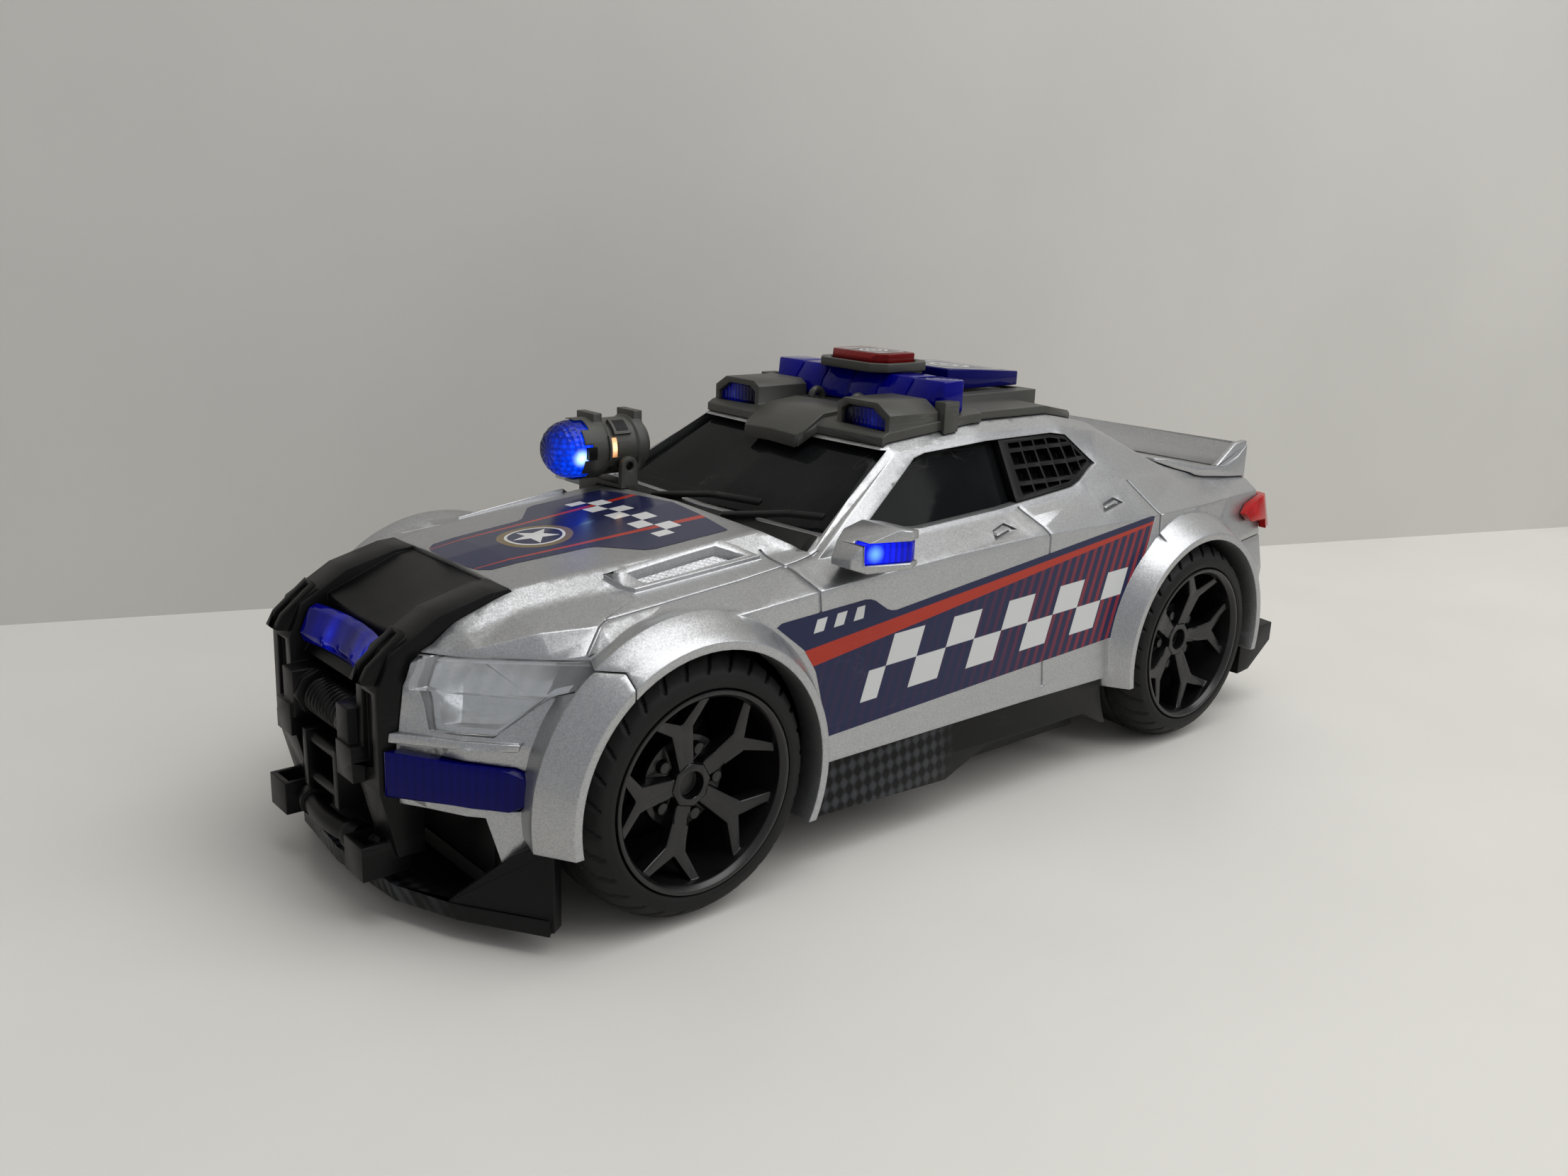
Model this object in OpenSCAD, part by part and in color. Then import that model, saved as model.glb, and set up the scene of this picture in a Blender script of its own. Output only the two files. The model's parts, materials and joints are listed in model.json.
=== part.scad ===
// Large light and sound toy police car, front towards -Y, left side towards +X.
// The painted body is one lofted form: shells, glazing, lamps and trim are all cut from it.

/* [Body] */
// Length of the painted body between the bumper faces
body_l = 320; // [312:1:330]
// Width of the painted body across the doors
body_w = 132; // [128:1:136]
// Height of the roof above the ground
roof_h = 108; // [104:1:112]
// Wall of the moulded shells
wall = 2; // [1.6:0.1:2.4]
// Gap between pieces that are clipped together
fit_gap = 0.3; // [0.2:0.05:0.4]
// Depth of the moulded panel lines
groove_d = 0.6; // [0.3:0.1:0.8]
// Width of the moulded panel lines
groove_w = 0.7; // [0.5:0.1:1]
// Thickness of the smoked glazing
glass_t = 1.4; // [1:0.1:2]

/* [Wheels] */
// Overhang of the body past each axle
overhang = 60; // [57:1:63]
// Outer diameter of the tyres
tyre_d = 66; // [64:1:67]
// Width of the tyres
tyre_w = 26; // [24:1:27]
// Distance over the outer faces of the tyres
track_w = 140; // [137:1:142]
// Diameter of the rims where the tyres sit
rim_d = 50; // [47:1:52]
// Diameter of the steel axles
axle_d = 4; // [3:0.5:5]
// Running clearance of an axle or pin in its bore
axle_gap = 0.06; // [0.03:0.01:0.1]
// Gap between a tyre and its wheel arch
arch_gap = 1.8; // [1.4:0.1:2.4]
// How far the arch flares stand out from the doors
flare_out = 5.4; // [4:0.2:7]
// Width of the flat lip round an arch
lip_w = 2.2; // [1.6:0.1:3]
// Spokes in a rim
spoke_n = 5; // [4:1:7]
// Tread blocks round a tyre
tread_n = 30; // [20:1:40]

/* [Roof] */
// Thickness of the roof console deck above the roof
console_t = 4; // [3:0.5:6]
// Width of the light bar lens
lightbar_w = 72; // [64:1:76]
// Depth of the light bar lens, front to rear
lightbar_d = 16; // [14:1:18]
// Height of the light bar lens above the deck
lightbar_h = 6.5; // [6:0.5:8]
// Width of the red button
red_w = 24; // [20:1:26]
// Length of the red button
red_l = 19; // [17:1:20]
// Width of the siren button
siren_w = 34; // [28:1:36]
// Length of the siren button
siren_l = 33; // [28:1:36]
// Travel of the buttons
button_travel = 1.5; // [1:0.1:1.8]

/* [Push bar] */
// Width over the two uprights
bar_w = 60; // [56:1:62]
// Width of one upright
upright_w = 11; // [9:0.5:12]
// Diameter of the winch drum
drum_d = 7; // [6:0.5:8]
// Diameter of the wound winch rope
rope_d = 1.4; // [1.2:0.1:1.5]
// Turns of rope on the drum
rope_turns = 10; // [6:1:10]
// Diameter of the lower tube
tube_d = 5.2; // [4:0.2:6]

/* [Search lamp] */
// Outer diameter of the lamp housing
spot_d = 18; // [16:0.5:18]
// Length of the lamp housing
spot_l = 24; // [21:1:26]
// Diameter of the hinge pin
spot_pin_d = 2.4; // [2:0.1:3]

/* [Batteries] */
// Diameter of one cell
cell_d = 14.2; // [13.8:0.1:14.5]
// Length of one cell
cell_l = 50; // [49:0.5:51]
// Cells in the bay
cell_n = 3; // [2:1:3]

/* [Hidden] */
$fn = 64;

// Colours of the mouldings
silver_paint = "#a9abad";
black_plastic = "#1b1c1e";
grey_plastic = "#55524e";
smoked_clear = "#15171a";
blue_clear = "#1a1fb4";
red_clear = "#b01818";
water_clear = "#dfe4e8";
rubber_black = "#141414";
steel_bright = "#b9bcc0";
board_green = "#1e6b3a";

// Derived places
half_l = body_l / 2;
half_w = body_w / 2;
axle_y = half_l - overhang;
axle_z = tyre_d / 2;
core_z = roof_h / 2;
wheel_in_x = track_w / 2 - tyre_w;
arch_r = tyre_d / 2 + arch_gap;
flare_x = half_w + flare_out;
well_t = 1.3;
well_gap = 1.5;
hub_in = 2.4;
well_r = arch_r + well_gap + well_t;
// Every cut runs past its face by this much
overrun = 1;
small_fn = 32;

// Half sections of the body from nose to tail, as shares of half length, half width and roof height.
// Each row: place along the car, then sill, side, crease, belt, edge and ridge points, then the top.
station_shares = [
  [-0.99, [[0.43, 0.15], [0.44, 0.426], [0.41, 0.537], [0.38, 0.583], [0.35, 0.602], [0.27, 0.606]], 0.611],
  [-0.925, [[0.68, 0.16], [0.667, 0.435], [0.583, 0.574], [0.545, 0.606], [0.5, 0.62], [0.41, 0.634]], 0.639],
  [-0.888, [[0.78, 0.17], [0.758, 0.444], [0.65, 0.593], [0.606, 0.63], [0.53, 0.646], [0.44, 0.671]], 0.68],
  [-0.813, [[0.9, 0.194], [0.91, 0.454], [0.78, 0.611], [0.712, 0.66], [0.545, 0.676], [0.447,
    0.709]], 0.719],
  [-0.738, [[0.955, 0.26], [0.985, 0.463], [0.9, 0.63], [0.795, 0.669], [0.57, 0.692], [0.475,
    0.724]], 0.735],
  [-0.625, [[1, 0.269], [0.985, 0.38], [0.962, 0.662], [0.78, 0.685], [0.61, 0.705], [0.51, 0.738]], 0.75],
  [-0.494, [[1, 0.269], [0.985, 0.36], [0.97, 0.677], [0.788, 0.702], [0.64, 0.72], [0.54, 0.756]], 0.768],
  [-0.363, [[1, 0.269], [0.985, 0.36], [0.97, 0.691], [0.803, 0.724], [0.66, 0.736], [0.56, 0.773]], 0.786],
  [-0.33, [[1, 0.269], [0.985, 0.36], [0.97, 0.694], [0.81, 0.732], [0.765, 0.737], [0.697, 0.743]], 0.759],
  [-0.1, [[1, 0.269], [0.985, 0.36], [0.97, 0.711], [0.826, 0.755], [0.636, 0.935], [0.576, 0.959]], 0.969],
  [0.113, [[1, 0.269], [0.985, 0.36], [0.97, 0.72], [0.826, 0.769], [0.636, 0.963], [0.576, 0.987]], 1],
  [0.344, [[1, 0.265], [0.985, 0.37], [0.97, 0.716], [0.818, 0.796], [0.629, 0.963], [0.568, 0.985]], 0.996],
  [0.475, [[1, 0.26], [0.985, 0.385], [0.97, 0.712], [0.803, 0.808], [0.606, 0.929], [0.545, 0.95]], 0.958],
  [0.663, [[0.995, 0.26], [0.985, 0.42], [0.929, 0.708], [0.765, 0.782], [0.712, 0.806], [0.65,
    0.815]], 0.82],
  [0.813, [[0.94, 0.265], [0.955, 0.46], [0.871, 0.704], [0.735, 0.745], [0.697, 0.755], [0.636,
    0.759]], 0.764],
  [0.981, [[0.865, 0.272], [0.88, 0.45], [0.795, 0.696], [0.727, 0.726], [0.68, 0.73], [0.62, 0.732]], 0.733],
  [1, [[0.84, 0.278], [0.855, 0.44], [0.765, 0.65], [0.697, 0.671], [0.65, 0.676], [0.59, 0.679]], 0.681]
];
station_n = len(station_shares);
side_n = len(station_shares[0][1]);
ring_n = 2 * side_n + 2;

// Scales a list of outline shares to a width and a height.
function lift(shares, w, h) = [for (s = shares) [s[0] * w, s[1] * h]];

// Moves one section point outwards; the sill also moves down by the drop.
function grown(s, i, grow, drop) =
  i == 0 ? [s[0] * half_w + grow, s[1] * roof_h - abs(grow) - drop]
  : i == 1 ? [s[0] * half_w + grow, s[1] * roof_h]
  : [s[0] * half_w + grow, s[1] * roof_h + grow];

function half_ring(row, grow, drop) = [for (i = [0:side_n - 1]) grown(row[1][i], i, grow, drop)];

function station_y(i, grow) =
  station_shares[i][0] * half_l + (i == 0 ? -grow : i == station_n - 1 ? grow : 0);

// One closed section ring: bottom centre, left side going up, top centre, right side going down.
function ring(i, grow, drop) =
  let (row = station_shares[i], h = half_ring(row, grow, drop), y = station_y(i, grow))
  concat(
    [[0, y, h[0][1]]],
    [for (p = h) [p[0], y, p[1]]],
    [[0, y, row[2] * roof_h + grow]],
    [for (k = [side_n - 1:-1:0]) [-h[k][0], y, h[k][1]]]
  );

// Painted body form, grown outwards or, when negative, inset with an open underside.
module body_form(grow = 0, drop = 0) {
  points = [for (i = [0:station_n - 1]) each ring(i, grow, drop)];
  skin = [
    for (i = [0:station_n - 2], j = [0:ring_n - 1])
      let (a = i * ring_n + j, b = i * ring_n + (j + 1) % ring_n, c = b + ring_n, d = a + ring_n)
      each j <= side_n ? [[a, b, c], [a, c, d]] : [[a, b, d], [b, c, d]]
  ];
  nose = [for (j = [ring_n - 1:-1:0]) j];
  tail = [for (j = [0:ring_n - 1]) (station_n - 1) * ring_n + j];
  polyhedron(points, concat(skin, [nose, tail]), convexity = 8);
}

// Draws an outline of (y, z) points and carries it along X.
module side_prism(x0, x1) {
  translate([x0, 0, 0]) rotate([90, 0, 90]) linear_extrude(x1 - x0) children();
}

// Draws an outline of (x, z) points and carries it along Y.
module front_prism(y0, y1) {
  translate([0, y1, 0]) rotate([90, 0, 0]) linear_extrude(y1 - y0) children();
}

// Draws an outline of (x, y) points and carries it along Z.
module plan_prism(z0, z1) {
  translate([0, 0, z0]) linear_extrude(z1 - z0) children();
}

// Block between two corners.
module block(low, high) {
  translate(low) cube(high - low);
}

// Block centred on x = 0.
module centre_block(w, y0, y1, z0, z1) {
  block([-w / 2, y0, z0], [w / 2, y1, z1]);
}

module both_sides() {
  children();
  mirror([1, 0, 0]) children();
}

// Side 1 is the left, side -1 the right.
module on_side(side) {
  mirror([side < 0 ? 1 : 0, 0, 0]) children();
}

// Cylinder along X between two places.
module rod_x(x0, x1, r, y, z) {
  translate([x0, y, z]) rotate([0, 90, 0]) cylinder(h = x1 - x0, r = r);
}

// Everything within this reach is inside the car.
reach = body_l;

// Wheel arches
flare_rise = 7.4;
flare_base_in = 3.5;
flare_depth = 12;
flare_blend = 2.4;
flare_base_x = half_w - flare_base_in;
flare_in_x = half_w - flare_depth;
flare_r = arch_r + flare_rise;
front_leg_z = 17.5;
front_nose_leg_z = 27;
rear_leg_z = 25;

module flare_ring(y) {
  translate([0, y, axle_z])
    rotate([0, 90, 0])
      rotate_extrude()
        polygon([
          [arch_r, flare_in_x], [arch_r, flare_x], [arch_r + lip_w, flare_x],
          [flare_r, flare_base_x], [flare_r - flare_blend, flare_in_x]
        ]);
}

module flares() {
  both_sides() {
    intersection() {
      flare_ring(-axle_y);
      union() {
        block([0, -axle_y, front_leg_z], [reach, 0, reach]);
        block([0, -reach, front_nose_leg_z], [reach, -axle_y, reach]);
      }
    }
    intersection() {
      flare_ring(axle_y);
      block([0, 0, rear_leg_z], [reach, reach, reach]);
    }
  }
}

module arches(r) {
  for (y = [-axle_y, axle_y])
    both_sides()
      rod_x(wheel_in_x - 2 * overrun, reach, r, y, axle_z);
}

// Front and rear bumpers are cut from the body form at these places.
bumper_split_out = 21;
brow_share = 0.612;
tail_split_out = 3.6;
tail_top_share = 0.556;
bumper_split_y = -axle_y - bumper_split_out;
brow_z = brow_share * roof_h;
tail_split_y = axle_y + arch_r + tail_split_out;
tail_top_z = tail_top_share * roof_h;

module front_zone() {
  block([-reach, -reach, -reach], [reach, bumper_split_y, brow_z]);
}

// The push bar fills the middle of the nose in front of the hood edge.
hood_front_share = -0.8;
hood_front_y = hood_front_share * half_l;
bar_x = bar_w / 2;
upright_in_x = bar_x - upright_w;

module bar_zone(gap = 0) {
  block([-bar_x - gap, -reach, -reach], [bar_x + gap, hood_front_y + gap, reach]);
}

module rear_zone(gap = 0) {
  block([-reach, tail_split_y + gap, -reach], [reach, reach, tail_top_z - gap]);
}

// Openings of the glazing
side_window_shares = [
  [-0.225, 0.778], [-0.059, 0.921], [-0.031, 0.93], [0.125, 0.943], [0.313, 0.944],
  [0.356, 0.935], [0.419, 0.852], [0.313, 0.806], [0.106, 0.78], [-0.1, 0.765]
];
windscreen_shares = [[-0.725, 0.769], [0.725, 0.769], [0.605, 0.942], [-0.605, 0.942]];
rear_window_shares = [[-0.59, 0.843], [0.59, 0.843], [0.515, 0.93], [-0.515, 0.93]];
windscreen_y_shares = [-0.356, -0.05];
rear_window_y_shares = [0.49, 0.67];
cowl_shares = [
  [-0.735, -0.33], [-0.45, -0.35], [0, -0.362], [0.45, -0.35], [0.735, -0.33],
  [0.71, -0.296], [0, -0.316], [-0.71, -0.296]
];

module side_window_outline() {
  polygon(lift(side_window_shares, half_l, roof_h));
}

module window_openings() {
  side_prism(-reach, reach) side_window_outline();
  front_prism(windscreen_y_shares[0] * half_l, windscreen_y_shares[1] * half_l)
    polygon(lift(windscreen_shares, half_w, roof_h));
  front_prism(rear_window_y_shares[0] * half_l, rear_window_y_shares[1] * half_l)
    polygon(lift(rear_window_shares, half_w, roof_h));
}

module cowl_opening(z0) {
  plan_prism(z0, roof_h) polygon(lift(cowl_shares, half_w, half_l));
}

// Hood vents: a raised frame on the hood flank with a sunk mesh field.
vent_rise = 1;
vent_sink = 0.8;
vent_shares = [[0.545, -0.665], [0.66, -0.64], [0.675, -0.405], [0.56, -0.45]];
vent_field_shares = [[0.572, -0.63], [0.642, -0.615], [0.653, -0.432], [0.58, -0.467]];

module vent_frame() {
  both_sides()
    intersection() {
      plan_prism(core_z, roof_h) polygon(lift(vent_shares, half_w, half_l));
      body_form(vent_rise);
    }
}

module vent_field() {
  both_sides()
    difference() {
      plan_prism(core_z, roof_h) polygon(lift(vent_field_shares, half_w, half_l));
      body_form(-vent_sink);
    }
}

// Panel lines: hood gap, door gaps, handles and tail seam.
hood_gap_shares = [[0.77, -0.32], [0.77, -0.72], [0.84, -0.77]];
door_gap_shares = [
  [[-0.39, 0.74], [-0.375, 0.5]], [[0.15, 0.775], [0.17, 0.71]], [[0.17, 0.71], [0.17, 0.3]],
  [[0.48, 0.8], [0.515, 0.71]], [[0.515, 0.71], [0.515, 0.64]]
];
handle_shares = [[0.03, 0.722], [0.045, 0.742], [0.085, 0.752], [0.105, 0.737]];
handle_step_share = 0.32;
handle_rise_share = 0.018;

// Straight line of a given width between two points
module stroke(a, b, w = groove_w) {
  along = (b - a) / norm(b - a) * w / 2;
  across = [-along[1], along[0]];
  polygon([a - along + across, b + along + across, b + along - across, a - along - across]);
}

module side_lines() {
  for (g = door_gap_shares) {
    ends = lift(g, half_l, roof_h);
    stroke(ends[0], ends[1]);
  }
  for (k = [0:1])
    translate([k * handle_step_share * half_l, k * handle_rise_share * roof_h])
      difference() {
        polygon(lift(handle_shares, half_l, roof_h));
        offset(delta = -groove_w) polygon(lift(handle_shares, half_l, roof_h));
      }
}

module hood_lines() {
  points = lift(hood_gap_shares, half_w, half_l);
  for (k = [0:len(points) - 2])
    stroke(points[k], points[k + 1]);
}

module panel_lines() {
  difference() {
    both_sides() {
      side_prism(half_w / 2, reach) side_lines();
      plan_prism(core_z, roof_h) hood_lines();
    }
    body_form(-groove_d);
  }
}

// Screw posts of the body and their screws
post_x = 20;
post_front_in = 25;
post_rear_in = 24;
post_front_y = -axle_y + post_front_in;
post_rear_y = axle_y + post_rear_in;
post_r = 4;
post_foot_z = 20;
screw_r = 1.4;
screw_gap = 0.1;
screw_l = 14;
screw_head_r = 2.8;
screw_head_h = 1.8;

module at_posts() {
  for (y = [post_front_y, post_rear_y], side = [1, -1])
    translate([side * post_x, y, 0])
      children();
}

module body_posts() {
  difference() {
    intersection() {
      at_posts() translate([0, 0, post_foot_z]) cylinder(h = roof_h, r = post_r);
      body_form(-wall / 2, reach);
    }
    at_posts()
      translate([0, 0, post_foot_z - overrun]) cylinder(h = screw_l + overrun, r = screw_r + screw_gap);
  }
}

module painted_form() {
  difference() {
    union() {
      body_form();
      flares();
    }
    arches(arch_r);
  }
}

module body_shell() {
  color(silver_paint) {
    difference() {
      union() {
        painted_form();
        vent_frame();
      }
      body_form(-wall, reach / 4);
      front_zone();
      bar_zone(fit_gap);
      rear_zone();
      window_openings();
      cowl_opening(core_z);
      vent_field();
      panel_lines();
    }
    body_posts();
  }
}

// Lamps in the front bumper
// Their outlines are shares of the width outside the push bar and of the roof height.
lamp_shares = [
  [0.083, 0.611], [0.908, 0.611], [0.872, 0.568], [0.652, 0.54], [0.505, 0.46], [0.175, 0.46], [0.083, 0.55]
];
lamp_upper_shares = [[0.083, 0.611], [0.908, 0.611], [0.872, 0.568], [0.652, 0.54], [0.083, 0.545]];
lamp_depth = 8;
lamp_out = 1.6;
lamp_lens_t = 1.6;
lamp_tray_t = 1.4;
blue_shares = [[0.019, 0.42], [0.615, 0.4], [0.725, 0.376], [0.734, 0.33], [0.633, 0.305], [0.019, 0.315]];
blue_depth = 3;
blue_out = 2.2;
intake_shares = [[-0.1, 0.292], [0.487, 0.285], [0.588, 0.17], [0.588, 0.03], [-0.1, 0.03]];
ledge_shares = [[-0.1, 0.452], [0.9, 0.452], [0.9, 0.438], [-0.1, 0.43]];
ledge_out = 1.2;

function beside_bar(shares) = [for (s = shares) [bar_x + s[0] * (half_w - bar_x), s[1] * roof_h]];

module lamp_prism(inset, shares = lamp_shares) {
  front_prism(-reach, bumper_split_y)
    offset(delta = -inset) polygon(beside_bar(shares));
}

// One half of the front bumper; the push bar stands between the halves
module front_bumper(side) {
  color(silver_paint)
    on_side(side)
      difference() {
        intersection() {
          union() {
            painted_form();
            difference() {
              intersection() {
                body_form(ledge_out);
                lamp_prism(0, ledge_shares);
              }
              arches(flare_r);
            }
          }
          block([bar_x + fit_gap, -reach, -reach],
             [reach, bumper_split_y - fit_gap, brow_z - fit_gap]);
        }
        body_form(-wall, reach / 4);
        lamp_prism(0);
        lamp_prism(0, blue_shares);
        lamp_prism(0, intake_shares);
      }
}

module rear_bumper() {
  color(silver_paint)
    difference() {
      intersection() {
        painted_form();
        rear_zone(fit_gap);
      }
      body_form(-wall, reach / 4);
    }
}

// Clear lens over a lamp, standing a little proud of the bumper
module headlamp_lens(side) {
  color(water_clear, 0.5)
    on_side(side)
      difference() {
        union() {
          intersection() {
            lamp_prism(fit_gap);
            body_form();
          }
          intersection() {
            lamp_prism(fit_gap, lamp_upper_shares);
            body_form(lamp_out);
          }
        }
        arches(arch_r);
        body_form(-lamp_lens_t, reach / 4);
      }
}

// Tray behind a lamp lens, with two light posts
module headlamp_base(side) {
  tray_front = -lamp_lens_t - fit_gap;
  color(silver_paint)
    on_side(side)
      difference() {
        intersection() {
          lamp_prism(fit_gap);
          body_form(tray_front, reach / 4);
        }
        body_form(-lamp_depth, reach / 4);
        rod_x(0, reach, well_r + fit_gap, -axle_y, axle_z);
        difference() {
          lamp_prism(fit_gap + lamp_tray_t);
          body_form(-lamp_depth + lamp_tray_t, reach / 4);
        }
      }
}

module bumper_light(side) {
  color(blue_clear, 0.8)
    on_side(side)
      difference() {
        intersection() {
          lamp_prism(fit_gap, blue_shares);
          body_form(blue_out);
        }
        body_form(-blue_depth, reach / 4);
        arches(arch_r);
      }
}

// One smoked moulding behind all the window openings
glazing_low_share = 0.722;
glazing_y_shares = [-0.3, 0.66];

module glazing() {
  color(smoked_clear, 0.9)
    intersection() {
      difference() {
        body_form(-wall - fit_gap, reach / 4);
        body_form(-wall - fit_gap - glass_t, reach / 4);
      }
      block([-reach, glazing_y_shares[0] * half_l, glazing_low_share * roof_h],
         [reach, glazing_y_shares[1] * half_l, reach]);
    }
}

// Square lattice in the rear half of each side window, with the door pillar in front of it
grille_split_share = 0.105;
grille_lean_share = 0.06;
grille_low_share = 0.793;
grille_bars = [0.8, 1.1];
grille_cell = [5.2, 3.35];
grille_pillar = 4;
grille_n = 8;

module grille_outline() {
  lean = grille_lean_share * half_l;
  intersection() {
    offset(delta = -fit_gap) side_window_outline();
    polygon([
      [grille_split_share * half_l, 0], [half_l, 0], [half_l, reach],
      [grille_split_share * half_l + lean * reach / roof_h, reach]
    ]);
  }
}

module grille_cells() {
  pitch = grille_bars + grille_cell;
  lean = grille_lean_share * half_l / roof_h;
  first = (grille_split_share + grille_lean_share * grille_low_share) * half_l + grille_pillar;
  difference() {
    for (i = [0:grille_n - 1], k = [0:grille_n - 1])
      translate([first + i * pitch[0] + k * pitch[1] * lean, grille_low_share * roof_h + k * pitch[1]])
        square(grille_cell);
    difference() {
      square([half_l, reach]);
      offset(delta = -fit_gap - grille_bars[1]) side_window_outline();
    }
  }
}

module window_grille(side) {
  color(black_plastic)
    on_side(side)
      difference() {
        intersection() {
          side_prism(0, reach)
            difference() {
              grille_outline();
              grille_cells();
            }
          body_form(-fit_gap);
        }
        body_form(-wall, reach / 4);
      }
}

// Cowl with two wiper arms lying along the windscreen base
wiper_w = 1.4;
wiper_h = 1.3;
wiper_shares = [[[-0.3, -0.325], [0.05, -0.295]], [[0.05, -0.295], [0.3, -0.282]],
        [[0.2, -0.325], [0.5, -0.284]], [[0.5, -0.284], [0.66, -0.272]]];

module cowl_plan() {
  plan_prism(core_z, roof_h)
    offset(delta = -fit_gap) polygon(lift(cowl_shares, half_w, half_l));
}

module cowl_panel() {
  color(black_plastic)
    difference() {
      union() {
        intersection() {
          cowl_plan();
          body_form(-fit_gap);
        }
        difference() {
          intersection() {
            plan_prism(core_z, roof_h)
              for (g = wiper_shares) {
                ends = lift(g, half_w, half_l);
                stroke(ends[0], ends[1], wiper_w);
              }
            body_form(wiper_h);
          }
          difference() {
            body_form(fit_gap);
            cowl_plan();
          }
        }
      }
      body_form(-wall, reach / 4);
    }
}

// Roof console
deck_z = roof_h + console_t;
clamp_w = 4.4;
clamp_l = 6;
clamp_rise = 1.5;
console_half = lightbar_w / 2 + clamp_w;
console_shares = [
  [-0.3, -0.155], [0.3, -0.155], [0.33, -0.118], [0.964, -0.112], [0.964, 0.14], [0.915, 0.15],
  [0.9, 0.36], [0.69, 0.49], [-0.69, 0.49], [-0.9, 0.36], [-0.915, 0.15], [-0.964, 0.14],
  [-0.964, -0.112], [-0.33, -0.118]
];
visor_shares = [[-0.28, -0.158], [0.28, -0.158], [0.31, -0.145], [0.34, -0.02], [-0.34, -0.02],
  [-0.31, -0.145]];
deck_t = 2.6;
visor_t = 4;
platform_side = 6;
platform_end = 2.4;
lightbar_y_share = 0.031;
red_in = 1;
siren_away = 3.5;
plate_rim = 2.5;
plate_t = 2.6;
plate_floor = 0.5;
plate_corner = 4;
column_in = 4.2;
column_w = 19;
pocket_floor = 1;
board_cavity_w = 36;
board_cavity_h = 2.2;
pod_w = 21;
pod_l = 19.5;
pod_rise = 1.8;
pod_slope = 3;
pod_slant = 5;
pod_in = 8;
pod_wall = 1.8;
pod_low_share = 0.982;
hook_x = 9;
hook_r = 2.2;
hook_bar = 1.1;
hook_rise = 1.5;
lightbar_y = lightbar_y_share * half_l;
pod_x = lightbar_w / 2 - pod_in;
pod_y = lightbar_y - 2 * fit_gap - pod_l;
hook_y = lightbar_y - hook_r - hook_bar - 2 * fit_gap;
red_y = lightbar_y + red_in;
plate_z = deck_z + lightbar_h + fit_gap;
red_bottom = plate_z + plate_floor + button_travel + fit_gap;
red_back_y = red_y + red_l;
siren_y = red_back_y + plate_rim + siren_away;
platform_w = siren_w + 2 * platform_side;
platform_y = [lightbar_y + lightbar_d, siren_y + siren_l + platform_end];
plunger_y = lightbar_y + column_in + plate_rim;

// Deck that follows the roof, with the platform that carries lens and buttons
module console_deck() {
  intersection() {
    plan_prism(core_z, reach) polygon(lift(console_shares, console_half, half_l));
    body_form(deck_t);
  }
  intersection() {
    plan_prism(core_z, reach) polygon(lift(visor_shares, console_half, half_l));
    body_form(visor_t);
  }
  centre_block(platform_w, platform_y[0], platform_y[1], core_z, deck_z);
}

// Space of the light bar above the deck, round the button's column
module lightbar_zone(gap) {
  difference() {
    centre_block(lightbar_w + 2 * gap, lightbar_y - gap, lightbar_y + lightbar_d + gap, core_z, plate_z);
    body_form(deck_t + fit_gap - gap);
    centre_block(column_w + 2 * fit_gap - 2 * gap, lightbar_y + column_in - fit_gap + gap, reach, 0, reach);
  }
}

module pod(inset) {
  w = pod_w - 2 * inset;
  top = deck_z + pod_rise - inset;
  translate([pod_x, 0, 0])
    front_prism(pod_y, pod_y + pod_l)
      polygon([
        [-w / 2, core_z], [w / 2, core_z], [w / 2, top - pod_slope], [w / 2 - pod_slant, top],
        [-w / 2 + pod_slant / 2, top], [-w / 2, top - pod_slope / 2]
      ]);
}

module hook_loop() {
  translate([hook_x, hook_y, roof_h + hook_rise])
    rotate([90, 0, 90])
      rotate_extrude()
        translate([hook_r, 0]) circle(r = hook_bar, $fn = small_fn);
}

// Rectangle from a corner to a corner with cut-off corners
module cut_corners(w, y0, y1, corner) {
  polygon([
    [-w / 2, y0 + corner], [-w / 2 + corner, y0], [w / 2 - corner, y0], [w / 2, y0 + corner],
    [w / 2, y1 - corner], [w / 2 - corner, y1], [-w / 2 + corner, y1], [-w / 2, y1 - corner]
  ]);
}

// Column behind the lens front and the plate round the red button on top of it
module red_riser() {
  centre_block(column_w, lightbar_y + column_in, red_back_y + plate_rim, core_z, plate_z + overrun);
  plan_prism(plate_z, plate_z + plate_t)
    cut_corners(red_w + 2 * plate_rim, red_y - plate_rim, red_back_y + plate_rim, plate_corner);
}

module plunger(gap, z0, z1) {
  w = column_w - 2 * plate_rim - 2 * fit_gap + 2 * gap;
  centre_block(w, plunger_y - gap, red_back_y - plate_rim + gap, z0, z1);
}

module roof_console() {
  color(grey_plastic)
    difference() {
      union() {
        console_deck();
        both_sides() {
          pod(0);
          hook_loop();
          block([lightbar_w / 2 + fit_gap, lightbar_y, core_z],
             [lightbar_w / 2 + clamp_w, lightbar_y + clamp_l, deck_z + clamp_rise]);
        }
        red_riser();
      }
      body_form(fit_gap);
      lightbar_zone(fit_gap);
      both_sides()
        intersection() {
          pod(pod_wall);
          block([0, -reach, pod_low_share * roof_h], [reach, pod_y + pod_l / 3, reach]);
        }
      plan_prism(plate_z + plate_floor, reach)
        cut_corners(red_w + 2 * fit_gap, red_y - fit_gap, red_back_y + fit_gap, plate_corner);
      plunger(fit_gap, deck_z + pocket_floor, reach);
      centre_block(siren_w + 2 * fit_gap, siren_y - fit_gap, siren_y + siren_l + fit_gap,
            deck_z - pocket_floor, reach);
      centre_block(board_cavity_w, platform_y[0] + 2 * wall, platform_y[1] - 2 * wall, core_z,
            roof_h + board_cavity_h);
    }
}

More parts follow.
